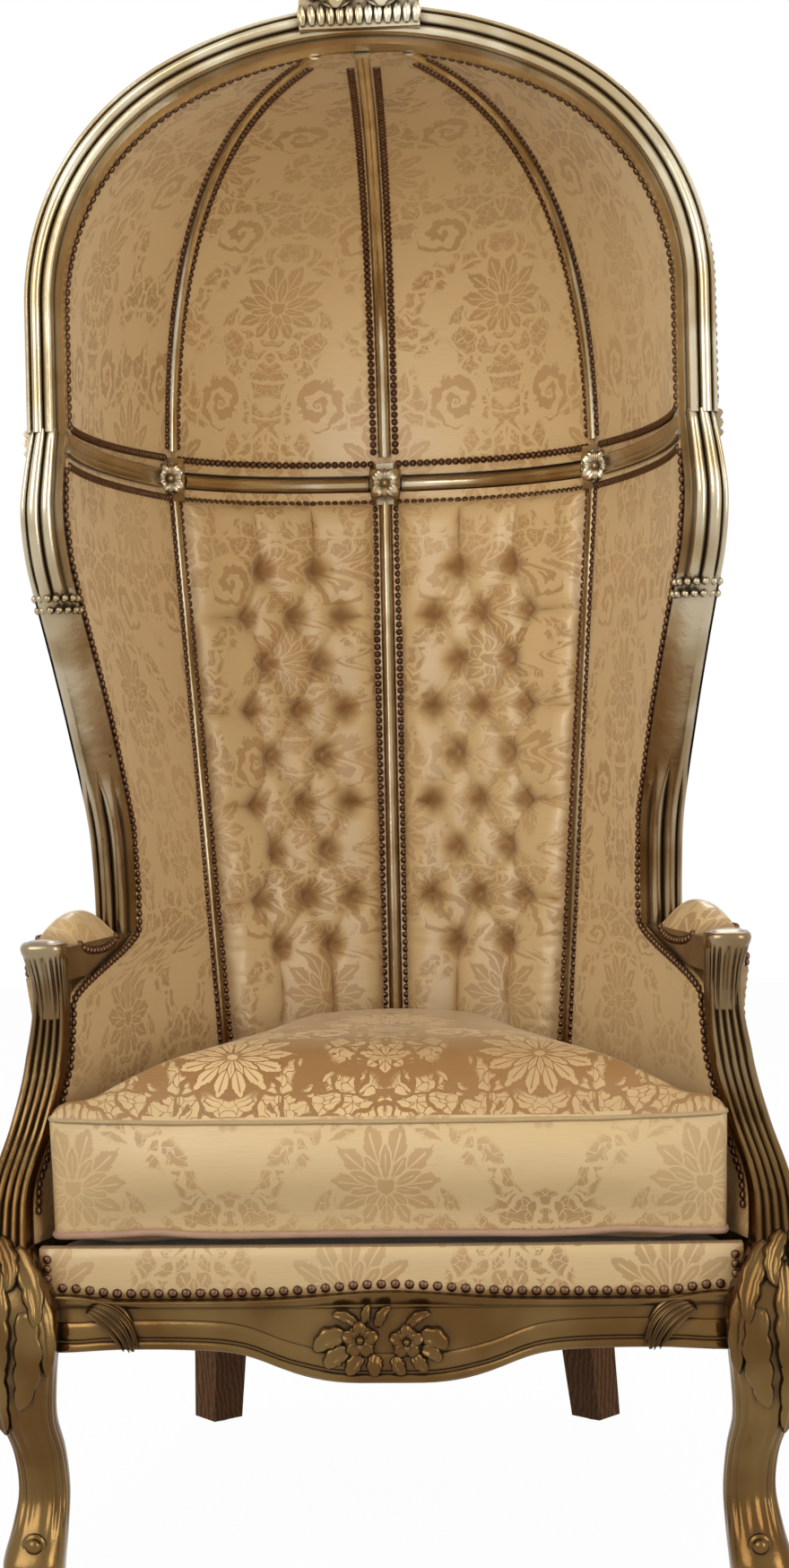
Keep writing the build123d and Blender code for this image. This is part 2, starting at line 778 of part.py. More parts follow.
def apron():
    """Bowed front seat rail with a serpentine lower edge."""
    length = leg_box(1)[0]
    half = [(share * length, rail_top - drop * apron_centre_drop) for share, drop in apron_edge_shares]
    edge = [(-x, z) for x, z in half[:0:-1]] + half
    low = [Vector(x, 0, z) for x, z in edge]
    corners = [Vector(length, 0, rail_top), Vector(-length, 0, rail_top)]
    lines = [
        Edge.make_spline(low),
        Edge.make_line(low[-1], corners[0]),
        Edge.make_line(corners[0], corners[1]),
        Edge.make_line(corners[1], low[0]),
    ]
    outline = Solid.extrude(Face(Wire(lines)), Vector(0, -half_depth, 0))
    plan = front_plan(apron_back_y - apron_thickness, apron_bow, apron_back_y)
    return largest(outline & Solid.extrude(plan, Vector(0, 0, rail_top)))


def seat_border():
    """Upholstered front edge of the seat above the apron."""
    front_y = apron_back_y - apron_thickness + border_inset
    plan = front_plan(front_y, border_bow, apron_back_y - web_rest)
    height = cushion_base - cushion_lift_gap - rail_top
    return Solid.extrude(plan.moved(Location((0, 0, rail_top))), Vector(0, 0, height))


def seat_plan(inset, front_y):
    """Outline of what lies inside the seat, inset from the upholstery."""
    shares = [column / panel_columns for column in range(panel_columns + 1)]
    right = [back_point(rail_top, share, -inset)[:2] for share in shares]
    right += [side_point(rail_top, False, share * seat_side_share, -inset)[:2] for share in shares[1:]]
    right += [(deck_front_half, front_y)]
    return right + [(-x, y) for x, y in right[:0:-1]]


def webbing(seat, rails):
    """Woven seat webbing: straps from front to back, and straps across them with folded ends."""
    level = rail_top + web_thickness
    half = web_width / 2
    straps = []
    for place in range(web_count):
        x = (place - (web_count - 1) / 2) * web_pitch
        straps += (seat & block((x - half, -big, rail_top), (x + half, big, level))).solids()
    cross = []
    for place in range(cross_web_count):
        y = cross_web_start_y + place * cross_web_pitch
        strap = seat & block((-big, y - half, level), (big, y + half, level + web_thickness))
        folds = seat & block((-big, y - half, rail_top), (big, y + half, level))
        for rail in rails:
            strap = strap + (folds & rail.moved(Location((0, 0, web_thickness))))
        cross += strap.solids()
    return Compound(children=straps), Compound(children=cross)


def corner_fixings(rail):
    """Right front corner block, between the apron and the given rail, with its two screws."""
    low = rail_top - block_drop - block_height
    inner_x = min(vertex.X for vertex in rail.vertices() if vertex.Y < apron_back_y + edge_cover)
    start_x = inner_x - block_length
    back_y = apron_back_y + block_length
    corner = block((start_x, apron_back_y, low), (inner_x + overrun, back_y, low + block_height))
    corner = keep(trim(corner, rail), (-big, -big, 0), (inner_x, big, big))
    middle = low + block_height / 2
    forward = Plane(origin=(start_x + block_length / 2, back_y, middle - screw_rise), z_dir=(0, -1, 0))
    outward = Plane(origin=(start_x, apron_back_y + block_length / 2, middle + screw_rise), z_dir=(1, 0, 0))
    screws = []
    for plane in (forward, outward):
        shank = Solid.make_cylinder(screw_radius, screw_length, plane)
        head = Solid.make_cylinder(screw_head_radius, screw_head_height, plane.offset(-screw_head_height))
        screws.append(largest(shank + head))
    return corner, screws


def cushion():
    """Loose T-shaped seat cushion: crowned top, front corners before the arms, sides drawn in."""
    side = [
        (cushion_front_half, cushion_front_y),
        (cushion_front_half, cushion_ear_back_y),
        (cushion_waist_half, cushion_ear_back_y + cushion_corner),
        (cushion_rear_half, cushion_rear_y),
    ]
    drawn = bowed(side[2], side[3], cushion_side_draw, 1 / 2)

    def half(sign):
        points = [Vector(sign * x, y, cushion_base) for x, y in side]
        middle = Vector(sign * drawn[0], drawn[1], cushion_base)
        lines = [Edge.make_line(points[0], points[1]), Edge.make_line(points[1], points[2])]
        return lines + [Edge.make_three_point_arc(points[2], middle, points[3])]

    def across(x, y, middle_y):
        ends = [Vector(sign * x, y, cushion_base) for sign in (-1, 1)]
        return Edge.make_three_point_arc(ends[0], Vector(0, middle_y, cushion_base), ends[1])

    front = across(cushion_front_half, cushion_front_y, cushion_front_y - cushion_front_bow)
    back = across(cushion_rear_half, cushion_rear_y, cushion_back_y)
    plan = Face(Wire([front, back] + half(1) + half(-1)))
    edge_z = cushion_base + cushion_edge_height
    top_y = cushion_front_y - cushion_front_bow - overrun
    sections = []
    for depth, crown, spread in crown_shares:
        y = lerp(top_y, cushion_back_y + overrun, depth)
        x = spread * cushion_front_half
        z = lerp(edge_z, cushion_base + cushion_crown_height, crown)
        lines = [
            Edge.make_three_point_arc((-x, y, edge_z), (0, y, z), (x, y, edge_z)),
            Edge.make_line((x, y, edge_z), (x, y, cushion_base)),
            Edge.make_line((x, y, cushion_base), (-x, y, cushion_base)),
            Edge.make_line((-x, y, cushion_base), (-x, y, edge_z)),
        ]
        sections.append(Wire(lines))
    crowned = Solid.make_loft(sections)
    return largest(Solid.extrude(plan, Vector(0, 0, big)) & crowned)


def crest():
    """Carved crest on the crown of the arch: leafy silhouette with two flowers over a banded base."""
    top = arch_crown_z + arch_crown_radius
    base = top - crest_base_drop
    right = [(share * crest_half_width, top + rise * crest_rise) for share, rise in crest_shares]
    right.append((crest_half_width, base))
    left = [(-x, z) for x, z in right[::-1]]
    front_y = arch_front_y - crest_proud
    face = Face(Wire.make_polygon([Vector(x, front_y, z) for x, z in right + left[:-1]], close=True))
    plate = Solid.extrude(face, Vector(0, crest_thickness, 0))
    seat_plane = Plane(origin=(0, arch_front_y - crest_gap, arch_crown_z), z_dir=(0, 1, 0))
    plate = plate - Solid.make_cylinder(arch_crown_radius + crest_gap, crest_thickness, seat_plane)
    for x in (-flower_offset, flower_offset):
        plane = Plane(origin=(x, front_y, top + flower_radius / 2), z_dir=(0, -1, 0))
        plate = plate + Solid.make_cylinder(flower_radius, flower_proud, plane)
    return largest(plate)


def glide(x, y):
    return Pos(x, y, glide_height / 2) * Cylinder(glide_radius, glide_height)


stile_foot = (stile_foot_x, stile_foot_y)
stile_top = (stile_top_x, stile_top_y)
spine_foot = (0, spine_foot_y)
spine_top = (0, spine_top_y)

# Bare frame, right half
leg = front_leg()
support = fluted_post(support_box, support_shares, leg_top, arm_top)
post = fluted_post(post_box, post_shares, arm_top, post_top)
arch = arch_half()
side_block = joint_block(stile_top, stile_turn, rosette_turn)
spine_block = joint_block(spine_top, spine_turn, spine_turn)
right_stile = trim(stile(stile_foot, stile_top, stile_turn), side_block)
spine = trim(stile(spine_foot, spine_top, spine_turn), spine_block)
side_belt = belt_rail(lambda share, out: side_point(belt_height, True, share, out))
side_belt = trim(side_belt, side_block, post, arch)
back_belt = belt_rail(lambda share, out: back_point(belt_height, share, out))
back_belt = trim(back_belt, spine_block, side_block)
side_rib = trim(hood_rib(stile_top, rib_gap_at_crown), side_block)
spine_rib = trim(hood_rib(spine_top, 0), spine_block)
arm = trim(arm_rail(), support, right_stile)
seat_side_rail = trim(side_rail(), leg)
seat_back_rail = back_rail()
front_apron = trim(apron(), leg, mirrored(leg))
border = trim(seat_border(), leg, mirrored(leg))

# Upholstery, right half
pad = arm_pad()
inner_side = trim(side_cover(False), leg, support, post, arm, right_stile, side_block, border)
outer_side = trim(side_cover(True), leg, support, post, arm, right_stile, side_block)
inner_back = trim(tufted_panel(), spine, right_stile, spine_block, side_block)
outer_back = trim(back_skin(), spine, right_stile, spine_block, side_block)
inner_drop = belt_bead_height / 2
outer_drop = belt_body_height / 2
skin_near = member_end_top - rib_show - skin_thickness
inner_gore = trim(centre_gore(0, panel_thickness, inner_drop), spine_rib, side_rib, spine_block, side_block)
outer_gore = centre_gore(skin_near, skin_near + skin_thickness, outer_drop)
outer_gore = trim(outer_gore, spine_rib, side_rib, spine_block, side_block)
inner_wing_gore = trim(side_gore(0, panel_thickness, inner_drop), side_rib, side_block, arch)
outer_wing_gore = side_gore(skin_near, skin_near + skin_thickness, outer_drop)
outer_wing_gore = trim(outer_wing_gore, side_rib, side_block, arch)

# Seat
seat_front_y = apron_back_y - web_rest
seat = prism(seat_plan(deck_gap, seat_front_y), rail_top, cushion_base - cushion_lift_gap)
seat = trim(seat, spine, right_stile, mirrored(right_stile), leg, mirrored(leg))
straps, cross_straps = webbing(seat, (seat_side_rail, mirrored(seat_side_rail)))
deck = keep(seat, (-big, -big, rail_top + 2 * web_thickness), (big, big, big))
cover_plan = seat_plan(rail_shelf - cover_overlap, apron_back_y)
dust_cover = prism(cover_plan, rail_top - rail_height - cover_thickness, rail_top - rail_height)
dust_cover = keep(dust_cover, (-big, apron_back_y, 0), (big, big, big))
corner, screws = corner_fixings(seat_side_rail)
bores = [screws[0], screws[1], mirrored(screws[0]), mirrored(screws[1])]
corner = largest(corner.cut(*screws))
seat_side_rail = largest(seat_side_rail.cut(*screws))
front_apron = largest(front_apron.cut(*bores))
foot_x, foot_y = leg_box(0)[:2]
glides = [glide(sign * x, y) for sign in (-1, 1) for x, y in ((foot_x, foot_y), (rear_foot_x, rear_foot_y))]

pairs = {
    "front_leg": leg,
    "rear_leg": rear_leg(),
    "seat_side_rail": seat_side_rail,
    "arm_support": support,
    "arm_rail": arm,
    "arm_pad": pad,
    "wing_post": post,
    "hood_arch": arch,
    "back_stile": right_stile,
    "belt_rail_side": side_belt,
    "belt_rail_back": back_belt,
    "joint_block": side_block,
    "hood_rib": side_rib,
    "side_panel_inner": inner_side,
    "side_panel_outer": outer_side,
    "back_panel_tufted": inner_back,
    "back_panel_outer": outer_back,
    "hood_panel_inner": inner_gore,
    "hood_panel_outer": outer_gore,
    "hood_wing_inner": inner_wing_gore,
    "hood_wing_outer": outer_wing_gore,
}
singles = {
    "seat_back_rail": seat_back_rail,
    "front_apron": front_apron,
    "back_stile_centre": spine,
    "joint_block_centre": spine_block,
    "hood_rib_centre": spine_rib,
    "crest": crest(),
    "seat_front_border": border,
    "seat_webbing_lengthwise": straps,
    "seat_webbing_crosswise": cross_straps,
    "seat_deck": deck,
    "dust_cover": dust_cover,
    "corner_blocks": Compound(children=[corner, mirrored(corner)]),
    "frame_screws": Compound(children=bores),
    "glides": Compound(children=glides),
    "seat_cushion": cushion(),
}

os.makedirs("parts", exist_ok=True)
for name, shape in pairs.items():
    export_step(shape, f"parts/{name}_right.step")
    export_step(mirrored(shape), f"parts/{name}_left.step")
for name, shape in singles.items():
    export_step(shape, f"parts/{name}.step")
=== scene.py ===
import math

import bpy
from mathutils import Matrix, Vector, noise
from mathutils.bvhtree import BVHTree


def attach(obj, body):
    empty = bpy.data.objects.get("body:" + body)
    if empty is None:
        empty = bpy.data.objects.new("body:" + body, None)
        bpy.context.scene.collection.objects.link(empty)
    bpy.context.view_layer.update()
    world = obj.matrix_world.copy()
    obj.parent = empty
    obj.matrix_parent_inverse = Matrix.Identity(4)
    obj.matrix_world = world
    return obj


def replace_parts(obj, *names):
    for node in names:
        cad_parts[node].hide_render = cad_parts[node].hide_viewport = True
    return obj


# Hooded throne chair. Metres, X to the right as seen from the front, the front faces -Y, Z up.
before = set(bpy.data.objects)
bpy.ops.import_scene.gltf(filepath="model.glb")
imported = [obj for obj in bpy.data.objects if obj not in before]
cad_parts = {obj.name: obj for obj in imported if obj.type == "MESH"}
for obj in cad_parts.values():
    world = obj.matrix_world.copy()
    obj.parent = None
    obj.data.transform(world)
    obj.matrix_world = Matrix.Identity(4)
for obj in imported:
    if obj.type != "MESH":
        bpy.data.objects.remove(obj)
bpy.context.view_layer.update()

# Driving sizes of the frame
half_width, half_depth = 0.425, 0.395
belt_height, rail_top, leg_top = 1.222, 0.302, 0.360
arm_height, arm_top, post_top, glide_height = 0.650, 0.672, 1.235, 0.004
stile_foot, stile_top = (0.200, 0.158), (0.267, 0.194)
spine_foot_y, spine_top_y = 0.255, 0.352
back_bow_foot, back_bow_top, side_bow_foot, side_bow_top = 0.021, 0.051, 0.005, 0.023
stile_turn, spine_turn = 50.0, 90.0
bead_width = 0.018
member_start, member_width, member_end_top, member_end_foot = 0.012, 0.030, 0.044, 0.074
panel_thickness, skin_thickness, rib_show, edge_cover = 0.010, 0.008, 0.006, 0.003
belt_bead_height, belt_body_height = 0.020, 0.034
arch_width, arch_depth, arch_front_y = 0.040, 0.047, -0.322
arch_side_radius, arch_side_x, arch_crown_radius, arch_crown_z = 0.290, 0.079, 0.4559, 1.221
arch_half_width = arch_side_x + arch_side_radius
arch_side_z = arch_crown_z + math.sqrt((arch_crown_radius - arch_side_radius) ** 2 - arch_side_x**2)
arch_back_y, arch_middle_y = arch_front_y + arch_depth, arch_front_y + arch_depth / 2
hood_rise, hood_power, hood_lift_share, rib_gap_at_crown = 0.415, 2.5, 0.8, 0.050
knee_width, support_width, post_width = 0.074, 0.045, 0.046
leg_sides, leg_roundness, leg_flutes, leg_flute = 112, 2.6, 16, 0.030
arm_rail_outside, pad_rise, pad_overhang = 0.043, 0.034, 0.005
pad_front_share, pad_back_share, pad_flap = 0.90, 0.64, 0.017
apron_back_y, apron_thickness, apron_bow, apron_centre_drop = -0.314, 0.040, 0.014, 0.086
border_inset, border_bow, web_rest = 0.010, 0.006, 0.010
cushion_base, cushion_edge_height, cushion_crown_height = 0.358, 0.134, 0.188
cushion_front_half, cushion_waist_half, cushion_front_y, cushion_ear_back_y = 0.366, 0.334, -0.342, -0.305
cushion_rear_half, cushion_rear_y, cushion_back_y, cushion_corner = 0.190, 0.146, 0.238, 0.010
tuft_rows, tuft_top_z, tuft_bottom_z = 9, 1.110, 0.626
joint_block_reach, joint_block_offset, rosette_turn = 0.027, 0.017, 72.0
crest_proud = 0.014
rosette_proud, flower_radius, flower_offset, flower_proud = 0.009, 0.021, 0.024, 0.007

# Stations, bottom up, as shares: height, centre x, centre y, width, depth
leg_shares = [
    (0.000, 0.896, 0.914, 0.78, 0.80), (0.022, 0.896, 0.914, 0.84, 0.86), (0.080, 0.896, 0.914, 0.89, 0.92),
    (0.170, 0.885, 0.873, 0.81, 0.81), (0.270, 0.878, 0.841, 0.74, 0.74), (0.386, 0.887, 0.848, 0.74, 0.74),
    (0.492, 0.906, 0.886, 0.80, 0.80), (0.597, 0.912, 0.894, 0.89, 0.89), (0.694, 0.913, 0.894, 0.97, 0.97),
    (0.833, 0.913, 0.888, 1.00, 1.00), (0.917, 0.935, 0.873, 0.86, 0.89), (1.000, 0.951, 0.853, 0.70, 0.75),
]
support_shares = [
    (0.000, 0.951, 0.853, 1.15, 1.23), (0.195, 0.946, 0.797, 1.02, 1.07), (0.390, 0.906, 0.709, 1.00, 1.00),
    (0.584, 0.875, 0.648, 1.00, 1.00), (0.753, 0.867, 0.633, 1.00, 1.00), (0.909, 0.873, 0.663, 1.11, 1.07),
    (1.000, 0.882, 0.678, 1.29, 1.11),
]
post_shares = [
    (0.000, 0.856, 0.201, 1.00, 1.00), (0.103, 0.856, 0.221, 1.02, 1.04), (0.227, 0.859, 0.308, 1.04, 1.17),
    (0.426, 0.889, 0.553, 1.04, 1.26), (0.547, 0.911, 0.727, 1.02, 1.26), (0.666, 0.935, 0.905, 1.00, 1.17),
    (0.751, 0.954, 0.982, 1.00, 1.09), (0.842, 0.962, 1.018, 0.98, 1.00), (0.920, 0.954, 1.005, 0.91, 0.98),
    (1.000, 0.939, 1.000, 0.78, 0.93),
]
apron_edge_shares = [
    (0.00, 1.00), (0.13, 0.99), (0.26, 0.86), (0.38, 0.66),
    (0.50, 0.60), (0.74, 0.60), (0.84, 0.63), (1.00, 0.58),
]
tuft_pair_shares = [(0.29, 0.315), (0.55, 0.605)]
tuft_triple_shares = [(0.19, 0.185), (0.40, 0.43), (0.64, 0.71)]
# Moulding of arch and posts: reeds as (start, end, depth share at the ends, depth share at the top)
reed_shares = [(0.20, 0.52, 0.20, 0.00), (0.52, 0.84, 0.17, 0.01), (0.84, 1.00, 0.22, 0.12)]
fascia_depth_share = 0.34
# Height share and width of the arm support in the photograph, with a waist under its capital
support_slim_shares = [
    (0.0, 0.08), (0.55, 0.048), (0.66, 0.0435), (0.78, 0.0390), (0.87, 0.0380), (0.95, 0.0420), (1.0, 0.0460),
]
front_way, up_way = Vector((0, -1, 0)), Vector((0, 0, 1))


def lerp(start, end, share):
    return start + (end - start) * share


def mix(start, end, share):
    return tuple(lerp(a, b, share) for a, b in zip(start, end))


def clamp(value, low=0.0, high=1.0):
    return max(low, min(high, value))


def smooth(share):
    share = clamp(share)
    return share * share * (3 - 2 * share)


def spread(count):
    """Shares from 0 to 1 in equal steps."""
    return [step / (count - 1) for step in range(count)]


def turned(angle):
    return (math.cos(math.radians(angle)), math.sin(math.radians(angle)))


def shifted(point, direction, distance):
    return (point[0] + direction[0] * distance, point[1] + direction[1] * distance)


def bowed(start, end, bow, share):
    dx, dy = end[0] - start[0], end[1] - start[1]
    length = math.hypot(dx, dy)
    swell = 4 * bow * share * (1 - share)
    x, y = mix(start, end, share)
    return (x - dy / length * swell, y + dx / length * swell)


def shell_share(z):
    return (z - rail_top) / (belt_height - rail_top)


def stile_at(z):
    return mix(stile_foot, stile_top, shell_share(z))


def spine_at(z):
    return (0, lerp(spine_foot_y, spine_top_y, shell_share(z)))


def member_end(z):
    return lerp(member_end_foot, member_end_top, shell_share(z))


def station(shares, share, column):
    for low, high in zip(shares, shares[1:]):
        if share <= high[0]:
            return lerp(low[column], high[column], max(0, (share - low[0]) / (high[0] - low[0])))
    return shares[-1][column]


def eased(shares, share, column):
    """Like station, along a smooth curve through the rows."""
    spots = [row[0] for row in shares]
    index = max(i for i in range(len(spots) - 1) if share >= spots[i] or i == 0)
    rows = [shares[clamp(i, 0, len(shares) - 1)] for i in range(index - 1, index + 3)]
    gap = rows[2][0] - rows[1][0]
    part = (share - rows[1][0]) / gap
    start = (rows[2][column] - rows[0][column]) / (rows[2][0] - rows[0][0]) * gap
    end = (rows[3][column] - rows[1][column]) / (rows[3][0] - rows[1][0]) * gap
    value = (2 * part**3 - 3 * part**2 + 1) * rows[1][column] + (3 * part**2 - 2 * part**3) * rows[2][column]
    return value + (part**3 - 2 * part**2 + part) * start + (part**3 - part**2) * end


def box_at(shares, share, read, reach_x, reach_y, size):
    """Centre x and y, width and depth of a leg or post at a share of its height."""
    x, y, width, depth = (read(shares, share, column) for column in (1, 2, 3, 4))
    return x * reach_x, y * reach_y, width * size, depth * size


def leg_box(share):
    return box_at(leg_shares, share, eased, half_width, -half_depth, knee_width)


def support_box(share, read=eased):
    return box_at(support_shares, share, read, half_width, -half_depth, support_width)


def post_box(share, read=eased):
    return box_at(post_shares, share, read, arch_half_width, arch_middle_y, post_width)


def side_front(z, upper):
    if upper:
        x, y, width, depth = post_box((z - arm_top) / (post_top - arm_top), station)
    else:
        x, y, width, depth = support_box(clamp((z - leg_top) / (arm_top - leg_top)), station)
    return (x - width / 2 + edge_cover, y), width


def side_point(z, upper, share, out):
    front, width = side_front(z, upper)
    bow = lerp(side_bow_foot, side_bow_top, shell_share(z) ** 2)
    x, y = shifted(bowed(stile_at(z), front, bow, share), turned(stile_turn * (1 - share)), out)
    return Vector((x, y, z))


def back_point(z, share, out):
    bow = lerp(back_bow_foot, back_bow_top, shell_share(z))
    direction = turned(lerp(spine_turn, stile_turn, share))
    x, y = shifted(bowed(spine_at(z), stile_at(z), bow, share), direction, out)
    return Vector((x, y, z))


def arch_lengths(inset, end_x):
    side, crown = arch_side_radius - inset, arch_crown_radius - inset
    meeting = math.atan2(arch_side_z - arch_crown_z, arch_side_x)
    return [arch_side_z - belt_height, side * meeting, crown * (math.acos(end_x / crown) - meeting)]


def arch_curve(share, inset, end_x):
    side, crown = arch_side_radius - inset, arch_crown_radius - inset
    upright, side_arc, crown_arc = arch_lengths(inset, end_x)
    way = share * (upright + side_arc + crown_arc)
    if way <= upright:
        return arch_side_x + side, belt_height + way, 0
    if way <= upright + side_arc:
        angle = (way - upright) / side
        return arch_side_x + side * math.cos(angle), arch_side_z + side * math.sin(angle), angle
    angle = side_arc / side + (way - upright - side_arc) / crown
    return crown * math.cos(angle), arch_crown_z + crown * math.sin(angle), angle


def rib_climb(share):
    angle = share * math.pi / 2
    return max(0, math.cos(angle)) ** (2 / hood_power), math.sin(angle) ** (2 / hood_power)


def arch_climb(share):
    inset = arch_width - edge_cover
    x, z, angle = arch_curve(share, inset, rib_gap_at_crown)
    reach = arch_half_width - inset - rib_gap_at_crown
    return (x - rib_gap_at_crown) / reach, (z - belt_height) / hood_rise


def hood_point(plan, pole_x, climb, out):
    reach_x, reach_y = plan[0] - pole_x, plan[1] - arch_back_y
    reach = math.hypot(reach_x, reach_y)
    scale = climb[0] * (reach + out) / reach
    z = belt_height + (hood_rise + out * hood_lift_share) * climb[1]
    return Vector((pole_x + reach_x * scale, arch_back_y + reach_y * scale, z))


def centre_hood(across, up, out):
    """The hood's gore beside the spine: across from spine to stile, up from belt to crown."""
    plan = back_point(belt_height, across, 0)
    return hood_point(plan, rib_gap_at_crown * across, rib_climb(up), out)


def side_hood(across, up, out):
    """The hood's gore from the stile's rib to the arch."""
    front = (arch_half_width - arch_width + edge_cover, arch_back_y)
    plan = bowed(stile_top, front, side_bow_top, across)
    return hood_point(plan, rib_gap_at_crown, mix(rib_climb(up), arch_climb(up), across), out)


class Nodes:
    """Short calls for building one material's node tree."""

    def __init__(self, name, tree=None):
        """A new material of that name, or the given tree of something else."""
        if tree is None:
            self.material = bpy.data.materials.new(name)
            self.material.use_nodes = True
            self.surface = self.material.node_tree.nodes["Principled BSDF"]
        self.tree = tree or self.material.node_tree

    def add(self, kind, inputs=(), **settings):
        """A node of a kind: inputs are values or sockets by index or name, settings its other properties."""
        node = self.tree.nodes.new(kind)
        for key, value in settings.items():
            setattr(node, key, value)
        for key, value in dict(inputs).items():
            self.put(node.inputs[key], value)
        return node

    def put(self, socket, value):
        if isinstance(value, bpy.types.NodeSocket):
            self.tree.links.new(value, socket)
        elif isinstance(value, bpy.types.Node):
            self.tree.links.new(value.outputs[0], socket)
        else:
            socket.default_value = value

    def math(self, operation, *values):
        """A step of arithmetic; the short names below are its commonest operations."""
        node = self.add("ShaderNodeMath", operation=operation)
        for socket, value in zip(node.inputs, values):
            self.put(socket, value)
        return node.outputs[0]

    def plus(self, first, second):
        return self.math("ADD", first, second)

    def minus(self, first, second):
        return self.math("SUBTRACT", first, second)

    def times(self, first, second):
        return self.math("MULTIPLY", first, second)

    def scaled(self, value, factor, offset):
        return self.math("MULTIPLY_ADD", value, factor, offset)

    def larger(self, first, second):
        return self.math("MAXIMUM", first, second)

    def inverted(self, value):
        return self.math("SUBTRACT", 1.0, value)

    def colour(self, factor, first, second):
        """Mix of two colours, each a tuple or a socket."""
        node = self.add("ShaderNodeMix", data_type="RGBA")
        self.put(node.inputs[0], factor)
        for socket, value in zip(node.inputs[6:8], (first, second)):
            self.put(socket, (*value, 1) if isinstance(value, tuple) else value)
        return node.outputs[2]

    def ramp(self, value, low, high):
        """0 at low, 1 at high, with soft ends."""
        inputs = {0: value, 1: low, 2: high}
        return self.add("ShaderNodeMapRange", inputs, interpolation_type="SMOOTHSTEP").outputs[0]

    def line(self, value, low, high):
        """0 at low, 1 at high, straight in between."""
        return self.add("ShaderNodeMapRange", {0: value, 1: low, 2: high}).outputs[0]

    def noise(self, vector, scale, detail=3.0):
        inputs = {"Scale": scale, "Detail": detail, "Roughness": 0.55, "Vector": vector}
        return self.add("ShaderNodeTexNoise", inputs).outputs[0]

    def edges(self, vector, scale):
        """Distance to the borders of cells."""
        inputs = {"Vector": vector, "Scale": scale}
        return self.add("ShaderNodeTexVoronoi", inputs, feature="DISTANCE_TO_EDGE").outputs[0]

    def stripes(self, vector, scale, way, swirl=0.0):
        inputs = {0: vector, "Scale": scale, "Distortion": swirl}
        return self.add("ShaderNodeTexWave", inputs, bands_direction=way).outputs[1]

    def place(self):
        """A point's place on its object, in metres."""
        return self.add("ShaderNodeTexCoord").outputs["Object"]

    def hollow(self, distance):
        """Open share of the surroundings within a distance: low in creases."""
        return self.add("ShaderNodeAmbientOcclusion", {"Distance": distance}, samples=3).outputs["AO"]

    def seen(self):
        """1 for the rays of the camera and those mirrored in metal or seen through glass, otherwise 0."""
        path = self.add("ShaderNodeLightPath").outputs
        shiny = self.larger(path["Is Glossy Ray"], path["Is Transmission Ray"])
        return self.larger(path["Is Camera Ray"], shiny)

    def bump(self, height, strength, distance, normal=None):
        node = self.add("ShaderNodeBump", {"Height": height, "Strength": strength, "Distance": distance})
        if normal is not None:
            self.put(node.inputs["Normal"], normal)
        return node.outputs[0]

    def finish(self, **inputs):
        for key, value in inputs.items():
            socket = self.surface.inputs[key.replace("_", " ").title().replace("Ior", "IOR")]
            self.put(socket, value)
        return self.material


def shaded(colour, share):
    return tuple(part * share for part in colour)


# Gold leaf: painted shade makes it darker and browner towards the feet, painted highlight makes it bright at
# the arch, as in the photograph
gold_shade_low, gold_shade_low_warm = (0.185, 0.112, 0.040), (0.125, 0.064, 0.020)
gold_highlight_high, gold_highlight_high_warm = (0.780, 0.690, 0.500), (0.520, 0.400, 0.225)
# The first two are painted shade for recesses and deep corners; the red ground shows where the leaf is rubbed
# through
gold_recess_shade, gold_corner_shade, red_ground = (0.040, 0.022, 0.008), (0.250, 0.105, 0.028), (0.150, 0.060, 0.026)
gold_shade_z, gold_highlight_z = 0.45, 1.50
cloth_ground, cloth_figure = (0.60, 0.430, 0.212), (0.370, 0.222, 0.090)
# The cushion top's copy of the damask: its ground painted darker and its figure paler, painted sheen of the
# top face
topside_sheen_ground, topside_sheen_figure = (0.330, 0.172, 0.060), (0.600, 0.430, 0.215)
fold_shadow, sheen_tint = (0.27, 0.125, 0.034), (0.95, 0.82, 0.60, 1)
repeat_width, repeat_height = 0.334, 0.44


def gold(name):
    """Burnished gold leaf: leaf joints, rubbed spots, painted shade by height, painted shade in recesses and
    painted warm shade in deep corners.
    """
    n = Nodes(name)
    place = n.place()
    cloudy = n.noise(place, 22.0, 4.0)
    fine = n.noise(place, 420.0, 3.0)
    leaf = n.ramp(n.noise(place, 9.0, 2.0), 0.40, 0.62)
    near, wide = n.hollow(0.011), n.hollow(0.11)
    # Painted shade: recesses found by ambient occlusion turn dark
    recess = n.ramp(near, 0.86, 0.42)
    height = n.add("ShaderNodeSeparateXYZ", {0: place}).outputs[2]
    # Painted shade and highlight by height: the gold darkens towards the feet and brightens towards the arch
    painted_light_share = n.line(height, gold_shade_z, gold_highlight_z)
    light = n.colour(painted_light_share, gold_shade_low, gold_highlight_high)
    colour = n.colour(leaf, light, n.colour(painted_light_share, gold_shade_low_warm, gold_highlight_high_warm))
    # Painted warm shade in deep corners, found by wide ambient occlusion
    colour = n.colour(n.ramp(wide, 0.72, 0.22), colour, gold_corner_shade)
    rubbed = n.ramp(n.times(cloudy, n.noise(place, 90.0, 2.0)), 0.45, 0.54)
    colour = n.colour(rubbed, colour, red_ground)
    colour = n.colour(recess, colour, gold_recess_shade)
    rough = n.scaled(cloudy, 0.20, 0.12)
    rough = n.plus(rough, n.times(recess, 0.25))
    normal = n.bump(fine, 0.12, 0.0006, n.bump(cloudy, 0.25, 0.004))
    metal = n.scaled(recess, -0.45, 1.0)
    return n.finish(base_color=colour, metallic=metal, roughness=rough, normal=normal)


